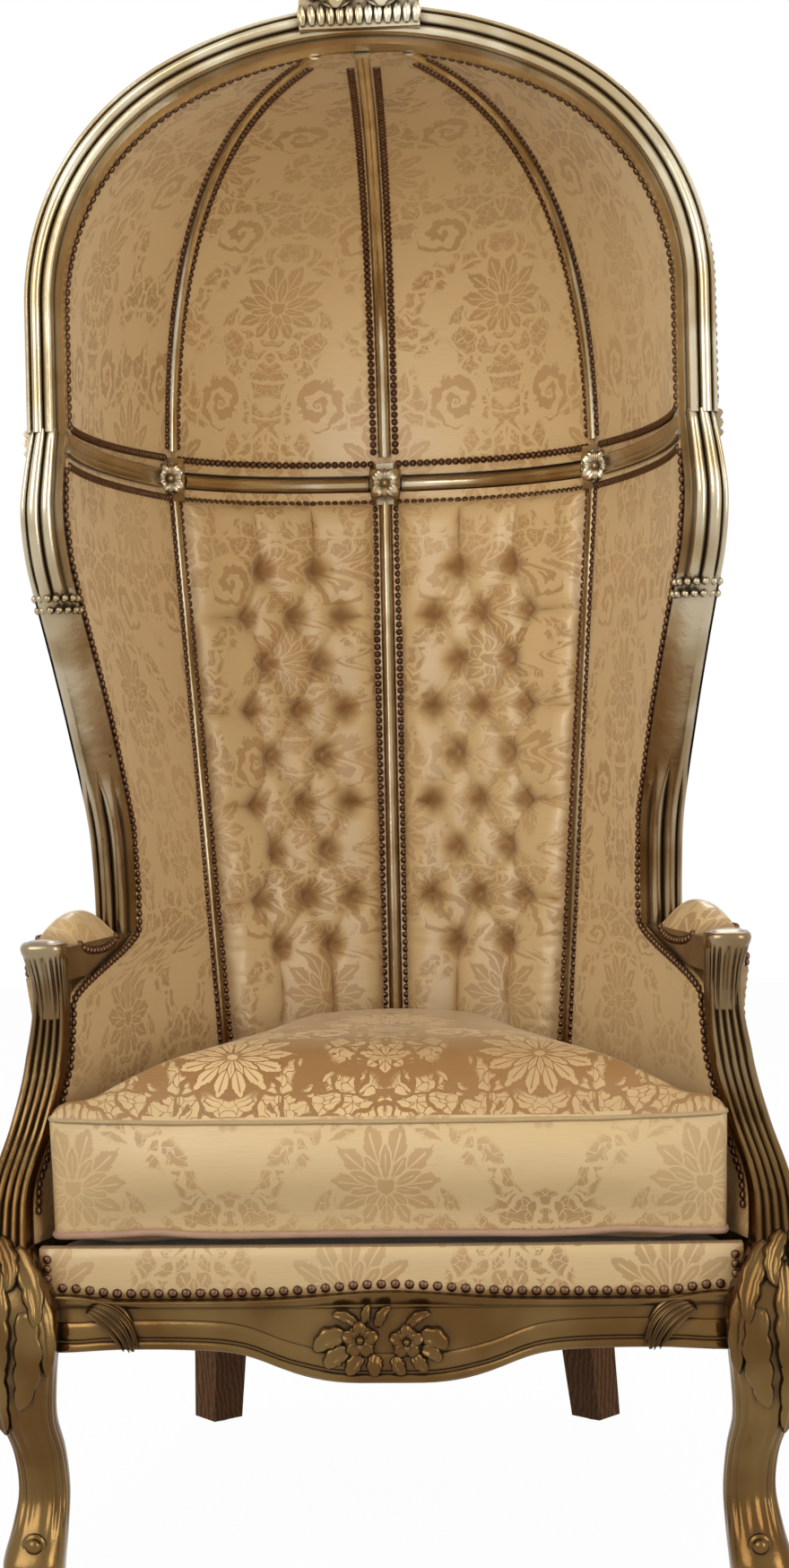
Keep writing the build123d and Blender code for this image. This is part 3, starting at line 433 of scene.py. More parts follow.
def damask(name, ground=cloth_ground, figure=cloth_figure, strength=0.9):
    """Satin damask: palmettes between mirrored volutes and leafy sprays, over a fine weave, with painted
    shade in its folds and at its sewn tufts.
    """
    width, height = repeat_width, repeat_height
    n = Nodes(name)
    cloth = n.add("ShaderNodeUVMap", uv_map="cloth").outputs[0]
    split = n.add("ShaderNodeSeparateXYZ", {0: cloth})
    across, along = n.math("DIVIDE", split.outputs[0], width), n.math("DIVIDE", split.outputs[1], height)

    def wrapped(value, offset):
        return n.minus(n.math("FRACT", n.plus(value, 0.5 + offset)), 0.5)

    # Everything below reads the cloth through one mirror line and one repeat, so the pattern stays symmetric
    mirror, rise = n.math("ABSOLUTE", wrapped(across, 0.0)), wrapped(along, 0.0)
    ring = n.add("ShaderNodeCombineXYZ", {0: n.times(mirror, 7.0)})
    turn = n.times(along, 2 * math.pi)
    n.put(ring.inputs[1], n.times(n.math("SINE", turn), 1.5))
    n.put(ring.inputs[2], n.times(n.math("COSINE", turn), 1.5))
    wobble = n.times(n.minus(n.noise(ring, 2.2, 2.0), 0.5), 0.030)

    def polar(offset_x, offset_y):
        """Radius and angle, in metres, round a point of the half repeat, x counted from the mirror line."""
        x = n.times(n.minus(mirror, offset_x), width)
        y = n.times(wrapped(along, -offset_y), height)
        radius = n.math("SQRT", n.plus(n.times(x, x), n.times(y, y)))
        return n.plus(radius, wobble), n.math("ARCTAN2", y, x)

    def leaves(share, turn, low, high, girth, teeth):
        """A ring of pointed leaves from low to high: their mask, and the mask with a gap round it."""
        way = n.line(share, low, high)
        swell = n.math("SINE", n.times(n.math("POWER", way, 0.75), math.pi))
        jag = n.times(n.math("SINE", n.times(share, 75.0)), teeth)
        half = n.times(swell, n.plus(jag, girth))
        side = n.math("ABSOLUTE", n.minus(n.math("FRACT", turn), 0.5))
        spare = n.minus(half, side)
        vein = n.times(n.ramp(side, 0.050, 0.030), n.ramp(way, 0.80, 0.74))
        leaf = n.times(n.ramp(spare, 0.0, 0.03), n.inverted(vein))
        return leaf, n.ramp(spare, -0.14, -0.10)

    def palmette(place, size, petals, lean):
        """Two tiers of pointed leaves round a heart, longer above than below."""
        radius, angle = polar(*place)
        reach = n.scaled(n.math("SINE", angle), size * lean, size * (1 - lean))
        share = n.math("DIVIDE", radius, reach)
        turn = n.scaled(angle, petals / (2 * math.pi), 0.25)
        back, _ = leaves(share, turn, 0.34, 1.0, 0.47, 0.05)
        front, room_front = leaves(share, n.plus(turn, 0.5), 0.14, 0.60, 0.42, 0.0)
        heart = n.ramp(share, 0.13, 0.11)
        mask = n.larger(n.times(back, n.inverted(room_front)), front)
        return n.larger(mask, heart), n.ramp(share, 0.98, 1.06)

    def volute(place, size, turns, hand, start):
        """A scroll that winds in on its centre, thick outside and thin at its eye."""
        radius, angle = polar(*place)
        way = n.scaled(angle, hand / (2 * math.pi), start)
        share = n.math("SQRT", n.math("DIVIDE", radius, size))
        wound = n.minus(n.times(share, turns), way)
        band = n.math("ABSOLUTE", n.minus(n.math("FRACT", wound), 0.5))
        thick = n.scaled(n.math("SINE", n.times(angle, 7.0)), 0.045, 0.27)
        arm = n.ramp(n.minus(thick, band), 0.0, 0.03)
        inside = n.ramp(n.minus(size, radius), 0.0, 0.002)
        return n.times(arm, inside), n.ramp(n.minus(radius, size), 0.003, 0.005)

    def foliage(scale, gap, bend):
        """Sprays of small lobed leaves with a gap round each, in drifts."""
        swirl = n.add("ShaderNodeTexNoise", {"Vector": ring, "Scale": 1.3, "Detail": 2.0}).outputs["Color"]
        bent = n.add("ShaderNodeVectorMath", {0: ring, 1: swirl}, operation="MULTIPLY_ADD")
        n.put(bent.inputs[1], n.add("ShaderNodeCombineXYZ", {0: 1.0, 1: 1.0, 2: 1.0}))
        n.put(bent.inputs[2], n.add("ShaderNodeVectorMath", {0: swirl, 3: bend}, operation="SCALE"))
        cells, lobes = n.edges(bent, scale), n.edges(bent, scale * 2.7)
        edge = n.math("MINIMUM", cells, n.scaled(lobes, 0.45, gap * 0.84))
        drift = n.ramp(n.noise(ring, 0.75, 1.0), 0.44, 0.50)
        return n.times(n.ramp(edge, gap, gap + 0.012), drift)

    motifs = [
        palmette((0.0, 0.0), 0.078, 13.0, 0.16), palmette((0.5, 0.5), 0.070, 11.0, 0.18),
        volute((0.29, 0.21), 0.036, 2.2, 1.0, 0.1), volute((0.25, -0.25), 0.034, 2.2, -1.0, 0.4),
        palmette((0.5, 0.0), 0.038, 7.0, 0.20),
    ]
    mask, room = motifs[0]
    for motif, around in motifs[1:]:
        mask, room = n.larger(mask, motif), n.times(room, around)
    mask = n.larger(mask, n.times(foliage(1.5, 0.075, 0.9), room))
    warp, weft = n.stripes(cloth, 420.0, "X", 0.6), n.stripes(cloth, 300.0, "Y", 0.6)
    slub = n.noise(n.add("ShaderNodeMapping", {0: cloth, 3: (30, 900, 1)}), 1.0, 3.0)
    worn = n.noise(n.place(), 4.0, 2.0)
    figure_tone = n.colour(n.ramp(worn, 0.38, 0.62), figure, shaded(figure, 1.18))
    ground_tone = n.colour(n.ramp(slub, 0.45, 0.85), ground, shaded(ground, 0.84))
    satin = n.ramp(n.noise(n.place(), 3.2, 1.0), 0.30, 0.62)
    shown = n.times(mask, n.scaled(satin, strength * 0.5, strength * 0.5))
    colour = n.colour(shown, ground_tone, figure_tone)
    # Painted shade: creases found by ambient occlusion and the tufts' sewn points turn to the fold-shadow
    # colour
    folds = n.hollow(0.035)
    pucker_shade = n.add("ShaderNodeAttribute", attribute_name="pucker_shade").outputs["Fac"]
    deep = n.larger(n.ramp(folds, 0.84, 0.22), n.times(pucker_shade, 0.85))
    colour = n.colour(deep, colour, fold_shadow)
    threads = n.plus(n.times(warp, n.inverted(mask)), n.times(weft, mask))
    normal = n.bump(threads, 0.10, 0.0003, n.bump(mask, 0.30, 0.0005))
    rough = n.scaled(mask, 0.20, 0.30)
    return n.finish(
        base_color=colour, roughness=rough, normal=normal, sheen_weight=0.30, sheen_roughness=0.35,
        sheen_tint=sheen_tint, specular_ior_level=0.6,
    )


def plain_cloth(name, colour, scale=500.0, rough=0.8):
    n = Nodes(name)
    place = n.place()
    weave = n.plus(n.stripes(place, scale, "X"), n.stripes(place, scale, "Z"))
    tone = n.colour(n.noise(place, 60.0), colour, shaded(colour, 0.72))
    return n.finish(base_color=tone, roughness=rough, normal=n.bump(weave, 0.3, 0.0004), sheen_weight=0.2)


def wood(name, light, dark, rough):
    """Wood with its grain along Z."""
    n = Nodes(name)
    place = n.place()
    drawn = n.add("ShaderNodeMapping", {0: place, 3: (60, 60, 5)})
    grain = n.add("ShaderNodeTexWave", {0: drawn, "Scale": 0.9, "Distortion": 6.0, "Detail": 4.0}).outputs[1]
    pores = n.noise(n.add("ShaderNodeMapping", {0: place, 3: (900, 900, 40)}), 1.0, 2.0)
    colour = n.colour(n.ramp(grain, 0.2, 0.9), dark, light)
    colour = n.colour(n.ramp(pores, 0.60, 0.75), colour, shaded(dark, 0.4))
    normal = n.bump(pores, 0.15, 0.0005)
    return n.finish(base_color=colour, roughness=rough, normal=normal, specular_ior_level=0.06)


def metal(name, colour, rough):
    n = Nodes(name)
    place = n.place()
    spots = n.noise(place, 160.0, 3.0)
    tone = n.colour(n.ramp(spots, 0.45, 0.75), colour, shaded(colour, 0.45))
    rough_share = n.scaled(spots, 0.25, rough - 0.1)
    return n.finish(base_color=tone, metallic=1.0, roughness=rough_share, normal=n.bump(spots, 0.1, 0.0004))


gold_leaf = gold("gold_leaf")
damask_cloth = damask("damask_cloth")
# Painted sheen of the cushion top: the same damask in other tones
damask_topside_sheen = damask("damask_topside_sheen", ground=topside_sheen_ground, figure=topside_sheen_figure, strength=1.0)
welt_cloth = plain_cloth("welt_cloth", (0.46, 0.275, 0.175), 700.0, 0.5)
gold_cord = plain_cloth("gold_cord", (0.50, 0.35, 0.165), 700.0, 0.5)
walnut = wood("walnut", (0.190, 0.080, 0.022), (0.070, 0.027, 0.008), 0.55)
beech = wood("beech", (0.52, 0.34, 0.19), (0.36, 0.22, 0.12), 0.6)
lining = plain_cloth("lining", (0.45, 0.36, 0.24))
jute = plain_cloth("jute", (0.28, 0.19, 0.10), 300.0, 0.9)
cambric = plain_cloth("cambric", (0.012, 0.012, 0.013), 700.0, 0.9)
antique_brass = metal("antique_brass", (0.150, 0.082, 0.048), 0.30)
steel = metal("steel", (0.42, 0.41, 0.40), 0.35)


# Mesh helpers


def linked(name, data):
    """An object of the scene with the given mesh, lamp or camera."""
    piece = bpy.data.objects.new(name, data)
    bpy.context.scene.collection.objects.link(piece)
    return piece


def mesh_piece(name, points, faces, material, body, sharp=None):
    """A smooth-shaded mesh that rides on a body."""
    mesh = bpy.data.meshes.new(name)
    mesh.from_pydata([tuple(p) for p in points], [], faces)
    mesh.validate()
    for face in mesh.polygons:
        face.use_smooth = True
    mesh.materials.append(material)
    piece = linked(name, mesh)
    if sharp:
        mesh.set_sharp_from_angle(angle=math.radians(sharp))
    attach(piece, body)
    return piece


def ring_faces(rings, size, closed=False, start=0):
    """Quads between rings of equal size; closed joins the last ring to the first."""
    faces = []
    for row in range(rings if closed else rings - 1):
        below, above = start + row * size, start + (row + 1) % rings * size
        for place in range(size):
            after = (place + 1) % size
            faces.append((below + place, below + after, above + after, above + place))
    return faces


def loft(name, rings, material=None, sharp=35):
    """A skin through closed rings, with its ends closed: gilded wood unless another material is given."""
    size = len(rings[0])
    last = (len(rings) - 1) * size
    faces = ring_faces(len(rings), size) + [tuple(range(size))[::-1], tuple(range(last, last + size))]
    points = [p for ring in rings for p in ring]
    return mesh_piece(name, points, faces, material or gold_leaf, "frame", sharp)


def add_cloth_map(piece, places):
    """Stores cloth coordinates in metres, one pair per vertex."""
    layer = piece.data.uv_layers.new(name="cloth")
    for loop in piece.data.loops:
        layer.data[loop.index].uv = places[loop.vertex_index]


def running(points):
    """Distance from the first point to each point along the line."""
    lengths = [0.0]
    for before, after in zip(points, points[1:]):
        lengths.append(lengths[-1] + (after - before).length)
    return lengths


def quilt(name, front, back, material, finish="damask"):
    """A closed padded panel between two grids of points, rows upward."""
    rows, columns = len(front), len(front[0])
    count = rows * columns
    along = running([row[columns // 2] for row in front])
    points, faces, places = [], [], []
    for grid in (front, back):
        for row, height in zip(grid, along):
            points += row
            places += [(step, height) for step in running(row)]
    for row in range(rows - 1):
        for place in range(row * columns, (row + 1) * columns - 1):
            quad = (place, place + 1, place + 1 + columns, place + columns)
            faces += [quad, tuple(corner + count for corner in quad[::-1])]
    rim = list(range(columns)) + [row * columns + columns - 1 for row in range(1, rows)]
    rim += range(count - 2, count - columns - 1, -1)
    rim += range(count - 2 * columns, 0, -columns)
    for here, there in zip(rim, rim[1:] + rim[:1]):
        faces.append((here, here + count, there + count, there))
    piece = mesh_piece(name, points, faces, material, "frame", 50)
    add_cloth_map(piece, places)
    return piece


def grid_of(point_at, columns, rows):
    """Points of point_at(across, along) over a grid of shares, rows upward."""
    return [[point_at(s, t) for s in spread(columns)] for t in spread(rows)]


def mirrored_grid(grid):
    """The other half's grid, its columns turned round so that its front still faces the same way."""
    return [[Vector((-p.x, p.y, p.z)) for p in row[::-1]] for row in grid]


def rim_share(grid_width, grid_height, s, t, soft):
    """0 at a panel's border, rising roundly to 1 at a depth of soft."""
    away = min(s, 1 - s) * grid_width, min(t, 1 - t) * grid_height
    near = clamp(min(away) / soft)
    return math.sqrt(max(0.0, 1 - (1 - near) ** 2))


class Gather:
    """Many small shapes gathered into one piece, each with its mirror image where both is true."""

    def __init__(self, both=True):
        self.points, self.faces, self.both = [], [], both

    def skin(self, rings):
        """A closed skin through rings, with its ends closed."""
        for sign in (1, -1) if self.both else (1,):
            start, size = len(self.points), len(rings[0])
            for ring in rings:
                self.points += [Vector((p.x * sign, p.y, p.z)) for p in ring[::sign]]
            last = start + (len(rings) - 1) * size
            self.faces += ring_faces(len(rings), size, False, start)
            self.faces += [tuple(range(start, start + size))[::-1], tuple(range(last, last + size))]

    def dome(self, centre, normal, radius, height, sides=8):
        normal = normal.normalized()
        side = normal.orthogonal().normalized()
        other = normal.cross(side)
        rings = []
        for ring_radius, rise in ((1.0, -0.4), (0.93, 0.35), (0.60, 0.82), (0.18, 1.0)):
            angles = [2 * math.pi * step / sides for step in range(sides)]
            flats = [side * math.cos(angle) + other * math.sin(angle) for angle in angles]
            rings.append([centre + flat * radius * ring_radius + normal * height * rise for flat in flats])
        self.skin(rings)

    def row(self, line, radius=0.0049, height=0.0036, gap=0.0096):
        """Domes in equal steps along a line of (point, normal)."""
        lengths = [0.0]
        for (a, _), (b, _) in zip(line, line[1:]):
            lengths.append(lengths[-1] + (b - a).length)
        count = max(2, round(lengths[-1] / gap))
        index = 0
        for step in range(count + 1):
            way = lengths[-1] * step / count
            while index < len(line) - 2 and lengths[index + 1] < way:
                index += 1
            part = (way - lengths[index]) / max(1e-9, lengths[index + 1] - lengths[index])
            centre, normal = (line[index][side].lerp(line[index + 1][side], part) for side in (0, 1))
            self.dome(centre, normal, radius, height)

    def leaf(self, path, out, width, height, lobes):
        """Acanthus leaf along four control points: lobed edges, a groove down the middle, a rolled tip."""
        rings = []
        for share in spread(leaf_steps):
            centre, ahead = bezier(path, share), bezier(path, share + 0.01) - bezier(path, share - 0.01)
            across = ahead.cross(out).normalized()
            rise = across.cross(ahead).normalized()
            body = max(0.10, math.sin(math.pi * lerp(0.14, 1.0, share)) ** 0.55)
            half = width / 2 * body * (0.78 + 0.22 * abs(math.sin(lobes * math.pi * share)))
            ring = []
            for angle in [math.pi * place / 10 for place in range(11)]:
                v = math.cos(angle)
                groove = 1 - 0.50 * math.exp(-((v / 0.20) ** 2)) + 0.16 * math.cos(9 * v)
                form = max(0.0, math.sin(angle)) ** 0.55 * groove
                ring.append(centre + across * half * v + rise * (height * body * form))
            rings.append(ring + [centre - rise * 0.004])
        self.skin(rings)

    def flower(self, centre, out, radius, height, petals, start=90.0):
        """Open flower: rounded petals, small ones between them, and a domed heart."""
        out = out.normalized()
        side = out.cross(up_way).normalized()
        up = side.cross(out)
        for index in range(2 * petals):
            angle = math.radians(start + 180.0 * index / petals)
            way = side * math.cos(angle) + up * math.sin(angle)
            size = (1.0, 0.82)[index % 2]
            path = [
                centre + way * radius * size * share + out * height * rise for share, rise in petal_shares
            ]
            self.leaf(path, out, radius * (0.80, 0.42)[index % 2], height * 0.55, 1)
        self.dome(centre, out, radius * 0.30, height * 1.25, 10)

    def piece(self, name, material, finish):
        return mesh_piece(name, self.points, self.faces, material, "frame")


leaf_steps = 17
# A petal from the heart outward: share of the radius, share of the height
petal_shares = [(0.12, 0.15), (0.45, 0.60), (0.80, 0.55), (1.0, 0.10)]


def bezier(path, share):
    a, b, c, d = path
    left = 1 - share
    return a * left**3 + b * (3 * left * left * share) + c * (3 * left * share * share) + d * share**3


def panel_line(at, side, inset, out, steps, low, high):
    """Points and normals along a panel's side s0, s1, t0 or t1; at(s, t, out) gives the panel's points."""
    line = []
    end = 1.0 if side[1] == "1" else 0.0
    nudge = 0.02 if end == 0.0 else -0.02
    for share in spread(steps):
        other = lerp(low, high, share)
        if side[0] == "s":
            edge, inner = at(end, other, out), at(end + nudge, other, out)
            behind = at(end, other, out + 0.01)
        else:
            edge, inner = at(other, end, out), at(other, end + nudge, out)
            behind = at(other, end, out + 0.01)
        inward = (inner - edge).normalized()
        line.append((edge + inward * inset, (edge - behind).normalized()))
    return line


def half_round(start, end, base, top, steps=7):
    """Points (u, v) of one reed: u from start to end, v from base up to top at its middle."""
    points = []
    for step in range(steps + 1):
        angle = math.pi * step / steps
        points.append((lerp(start, end, (1 - math.cos(angle)) / 2), lerp(base, top, math.sin(angle))))
    return points


def moulding_section():
    """Section of arch and posts: (share from inner to outer edge, share from front to back)."""
    points = [(0.0, 1.0), (0.0, fascia_depth_share), (0.05, fascia_depth_share - 0.06)]
    points += [(0.12, 0.19), (0.19, 0.22)]
    for start, end, base, top in reed_shares:
        points += half_round(start, end, base, top)
    return points + [(1.0, fascia_depth_share), (1.0, 1.0)]


def mirror_points(points):
    return [Vector((-p.x, p.y, p.z)) for p in points]


def mirror_rings(rings):
    """The other half's rings, turned round so that their skin still faces outward."""
    return [mirror_points(ring)[::-1] for ring in rings]


# Arch, posts, supports and legs
moulding = moulding_section()
reed_end_share, collar_share = 0.24, 0.666
hollow_end, hollow_front = 0.76, 0.03


def arch_rings(steps):
    rings = []
    for share in spread(steps):
        x, z, angle = arch_curve(share, arch_width / 2, 0)
        ring = []
        for u, v in moulding:
            out = (u - 0.5) * arch_width
            point = (x + math.cos(angle) * out, arch_front_y + v * arch_depth, z + math.sin(angle) * out)
            ring.append(Vector(point))
        rings.append(ring)
    return rings


right_arch = arch_rings(72)
left_arch = [mirror_points(ring) for ring in right_arch]
arch = loft("hood_arch", right_arch[1:] + left_arch[-2:0:-1])
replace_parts(arch, "hood_arch_right", "hood_arch_left")


def box_rings(box_at, low, high, steps, section):
    rings = []
    for share in spread(steps):
        x, y, width, depth = box_at(share)
        z = lerp(low, high, share)
        rings.append([Vector((x + (u - 0.5) * width, y + (v - 0.5) * depth, z)) for u, v in section(share)])
    return rings


def hollow_depth(u):
    """Depth share of the smooth stretch of a post: a wide hollow that ends in a rounded front edge."""
    if u < hollow_end:
        return lerp(fascia_depth_share, hollow_front, math.sin(math.pi / 2 * u / hollow_end))
    return hollow_front + 4.6 * (u - hollow_end) ** 2


def reeding(share):
    """1 where the post is reeded, 0 on its smooth stretch between the foot and the collar."""
    return 1 - smooth((share - reed_end_share) / 0.10) + smooth((share - collar_share) / 0.03)


def post_section(share):
    points = []
    for u, v in moulding:
        plain = v == 1.0 or u in (0.0, 1.0)
        points.append((u, v if plain else lerp(min(1.0, hollow_depth(u)), v, reeding(share))))
    return points


def slim_support_box(share):
    """The support as the photograph shows it: a waist under the capital, its inner edge kept in place."""
    x, y, width, depth = support_box(share)
    slim = min(width, eased(support_slim_shares, share, 1))
    return x - (width - slim) / 2, y, slim, depth


def fine_section(share):
    """Section of the arm supports, the same at every share: a narrow fascia and five thin reeds."""
    points = [(0.0, 1.0), (0.0, 0.30), (0.06, 0.16)]
    for reed in range(5):
        points += half_round(lerp(0.08, 1.0, reed / 5), lerp(0.08, 1.0, (reed + 1) / 5), 0.11, 0.0, 5)
    return points + [(1.0, 0.30), (1.0, 1.0)]


def both_sides(name, node, rings):
    """A gilded loft for the right half and its mirror image, in place of a pair of nodes."""
    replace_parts(loft(f"{name}_right", rings), f"{node}_right")
    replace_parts(loft(f"{name}_left", mirror_rings(rings)), f"{node}_left")


def squared(angle, power):
    """Plan point on a square with round corners, -1 to 1 both ways: the smaller the power, the squarer."""
    c, s = math.cos(angle), math.sin(angle)
    return math.copysign(abs(c) ** power, c), math.copysign(abs(s) ** power, s)


def rounded_square(share):
    """Plan of the cabriole leg, a square with round corners and shallow flutes over the ankle."""
    points = []
    fluted = leg_flute * smooth((share - 0.13) / 0.10) * smooth((0.72 - share) / 0.15)
    for side in range(leg_sides):
        angle = 2 * math.pi * (side + 0.5) / leg_sides
        size = 0.5 - fluted * (0.5 - 0.5 * math.cos(leg_flutes * angle)) ** 1.5
        u, v = squared(angle, 2 / leg_roundness)
        points.append((0.5 + u * size, 0.5 + v * size))
    return points


both_sides("post_moulding", "wing_post", box_rings(post_box, arm_top, post_top, 90, post_section))
both_sides("leg_carcass", "front_leg", box_rings(leg_box, glide_height, leg_top, 48, rounded_square))
both_sides("support_moulding", "arm_support", box_rings(slim_support_box, leg_top, arm_top, 40, fine_section))


# Members between the upholstered panels: a round bead inside, a body with three reeds outside
reed_half, reed_depth = 0.006, 0.006


def bead_profile(kind):
    """Inside edge of a member, (across, outward): a round bead or a hollow between two fillets."""
    half = bead_width / 2
    if kind == "round":
        angles = [math.pi * step / 8 for step in range(9)]
        return [(half * math.cos(angle), -half * math.sin(angle) + 0.001) for angle in angles]
    hollow = []
    for share in spread(9):
        hollow.append((lerp(0.0085, -0.0085, share), -0.0065 + 0.0055 * math.sin(math.pi * share)))
    fillet = [(0.0115, 0.002), (0.0115, -0.0065), (0.0100, -0.0078)]
    return fillet + hollow + [(-across, out) for across, out in fillet[::-1]]


def member_section(outer, kind="round"):
    """Section of stiles, ribs and belts: (across, outward)."""
    half, body = bead_width / 2, member_width / 2
    base = outer - reed_depth
    left = [(-half, member_start), (-body, member_start), (-body, base)]
    reeds = []
    for start, end in ((-body, -reed_half), (-reed_half, reed_half), (reed_half, body)):
        reeds += half_round(start, end, base, outer, 4)
    right = [(body, base), (body, member_start), (half, member_start)]
    return bead_profile(kind) + left + reeds + right


def hood_member(plan, pole_x):
    """A hood rib that follows its superellipse from belt to crown."""
    across = Vector((plan[1] - arch_back_y, pole_x - plan[0], 0)).normalized()
    rings = []
    for step in range(45):
        share = lerp(0.03, 0.9985, (step / 44) ** 0.9)
        inner, outer = (hood_point(plan, pole_x, rib_climb(share), out) for out in (0, 0.1))
        stretch = (outer - inner) / 0.1
        rings.append([inner + across * u + stretch * v for u, v in member_section(member_end_top)])
    return rings


def stile_rings(foot_at, turn):
    rings = []
    outward = Vector((*turned(turn), 0))
    low, high = foot_at(rail_top), foot_at(belt_height)
    rise = Vector((high[0] - low[0], high[1] - low[1], belt_height - rail_top)).normalized()
    across = outward.cross(rise).normalized()
    for share in spread(12):
        z = lerp(rail_top, belt_height - belt_body_height / 2, share)
        centre = Vector((*foot_at(z), z))
        rings.append([centre + across * u + outward * v for u, v in member_section(member_end(z))])
    return rings


def belt_rings(point_at, start, end, kind):
    rings = []
    for share in spread(24):
        place = lerp(start, end, share)
        inner, outer = point_at(place, 0.0), point_at(place, 0.1)
        stretch = (outer - inner) / 0.1
        ring = [inner + up_way * u + stretch * v for u, v in member_section(member_end_top, kind)]
        rings.append(ring)
    return rings


def side_belt_at(share, out):
    return side_point(belt_height, True, share, out)


def back_belt_at(share, out):
    return back_point(belt_height, share, out)


both_sides("stile_bead", "back_stile", stile_rings(stile_at, stile_turn))
both_sides("rib_bead", "hood_rib", hood_member(stile_top, rib_gap_at_crown))
both_sides("belt_bead_side", "belt_rail_side", belt_rings(side_belt_at, 0.07, 0.985, "hollow"))
both_sides("belt_bead_back", "belt_rail_back", belt_rings(back_belt_at, 0.06, 0.92, "round"))
spine_bead = loft("spine_bead", stile_rings(spine_at, spine_turn))
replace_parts(spine_bead, "back_stile_centre")
spine_rib = loft("spine_rib_bead", hood_member((0, spine_top_y), 0))
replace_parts(spine_rib, "hood_rib_centre")

# Upholstery
cloth_puff, hood_puff, tight_puff = 0.006, 0.004, 0.002
arm_curve_low = 0.606
nails, front_nails = Gather(), Gather(both=False)
rail_clear = 0.0145
# Height shares where the hood's covers and linings start and end
outer_hood_low, inner_hood_low, hood_high = 0.02, 0.008, 0.995


def swollen(at, columns, rows, puff, far, soft, width, height):
    """Front and back grid of a padded panel of that width and height, over at(s, t, out).

    The front swells by puff over a depth of soft from its border, and the back lies at far.
    """

    def front(s, t):
        return at(s, t, -puff * rim_share(width, height, s, t, soft))

    return grid_of(front, columns, rows), grid_of(lambda s, t: at(s, t, far), columns, rows)


def both_quilts(name, node, shell):
    """A padded panel for the right half and its mirror image."""
    right = quilt(f"{name}_right", *shell, damask_cloth)
    left = quilt(f"{name}_left", *map(mirrored_grid, shell), damask_cloth)
    for piece, side in ((right, "right"), (left, "left")):
        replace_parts(piece, f"{node}_{side}")
    return right, left


def inner_front(z):
    """Front edge of the inside cover: down the post, under the arm in a curve, and down the support."""
    low, high = side_front(min(z, arm_height), False)[0], side_front(max(z, arm_height + 0.001), True)[0]
    return mix(low, high, smooth((z - arm_curve_low) / (arm_top + 0.006 - arm_curve_low)))


def inner_side_at(s, t, out):
    """The inside cover of one side, in one piece from the seat to the belt."""
    z = lerp(leg_top, belt_height - belt_bead_height / 2, t)
    bow = lerp(side_bow_foot, side_bow_top, shell_share(z) ** 2)
    x, y = shifted(bowed(stile_at(z), inner_front(z), bow, s), turned(stile_turn * (1 - s)), out)
    return Vector((x, y, z))


side_shell = swollen(inner_side_at, 36, 120, cloth_puff, panel_thickness, 0.03, 0.36, 0.85)
both_quilts("side_inner", "side_panel_inner", side_shell)


# Gilded reveal that fills the corner between the arm, its support and the cloth's curved edge
reveal_rings, reveal_low = [], arm_curve_low - 0.02
for share in spread(24):
    place = lerp(0.40, 0.995, share)
    near, far = (side_point(arm_height, False, place, out).xy for out in (0.0030, 0.0090))
    corners = ((near, reveal_low), (far, reveal_low), (far, arm_height), (near, arm_height))
    reveal_rings.append([Vector((*spot, z)) for spot, z in corners])
loft("arm_reveal_right", reveal_rings)
loft("arm_reveal_left", mirror_rings(reveal_rings))


def outer_depth(z, width, share):
    return lerp(member_end(z) - rib_show, width - 2 * edge_cover, share)


def outer_side_at(s, t, out):
    """Outside cover of the side: out counts from the cover's face, away from the chair when negative."""
    z = lerp(rail_top, belt_height - belt_body_height / 2, t)
    upper = z > arm_height
    return side_point(z, upper, s, outer_depth(z, side_front(z, upper)[1], s) - out)


def outer_back_at(s, t, out):
    z = lerp(rail_top, belt_height - belt_body_height / 2, t)
    return back_point(z, s, member_end(z) - rib_show - out)


def outer_centre_hood_at(s, t, out):
    return centre_hood(s, lerp(outer_hood_low, hood_high, t), member_end_top - rib_show - out)


def outer_side_hood_at(s, t, out):
    return side_hood(s, lerp(outer_hood_low, hood_high, t), member_end_top - rib_show - out)


def inner_centre_hood_at(s, t, out):
    return centre_hood(s, lerp(inner_hood_low, hood_high, t), out)


def inner_side_hood_at(s, t, out):
    return side_hood(s, lerp(inner_hood_low, hood_high, t), out)


for name, node, at, width, height in (
    ("side_cover", "side_panel_outer", outer_side_at, 0.42, 0.90),
    ("back_cover", "back_panel_outer", outer_back_at, 0.32, 0.90),
    ("hood_cover_centre", "hood_panel_outer", outer_centre_hood_at, 0.25, 0.75),
    ("hood_cover_side", "hood_wing_outer", outer_side_hood_at, 0.35, 0.60),
):
    both_quilts(name, node, swollen(at, 30, 60, tight_puff, skin_thickness, 0.03, width, height))
for name, node, at, width, height in (
    ("hood_lining_centre", "hood_panel_inner", inner_centre_hood_at, 0.20, 0.65),
    ("hood_lining_side", "hood_wing_inner", inner_side_hood_at, 0.32, 0.55),
):
    both_quilts(name, node, swollen(at, 34, 60, hood_puff, panel_thickness, 0.03, width, height))

# Tufted inside back: sewn points joined by folds into diamonds
back_low, back_high = leg_top - 0.02, belt_height - belt_bead_height / 2
pillow_height, fold_reach, pit_depth, pit_radius = 0.022, 0.030, 0.020, 0.0140
ripple_height, gather_height, gather_reach = 0.0012, 0.0024, 0.020


def back_width(z):
    """Width of the back panel at a height."""
    return math.dist(spine_at(z), stile_at(z)) * 1.03


def tuft_places():
    """Rows of tufts from the top, as (metres from the spine, z)."""
    rows = []
    for row in range(tuft_rows):
        fall = row / (tuft_rows - 1)
        z = lerp(tuft_top_z, tuft_bottom_z, fall)
        places = tuft_triple_shares if row % 2 else tuft_pair_shares
        rows.append([(lerp(top, bottom, fall) * back_width(z), z) for top, bottom in places])
    return rows


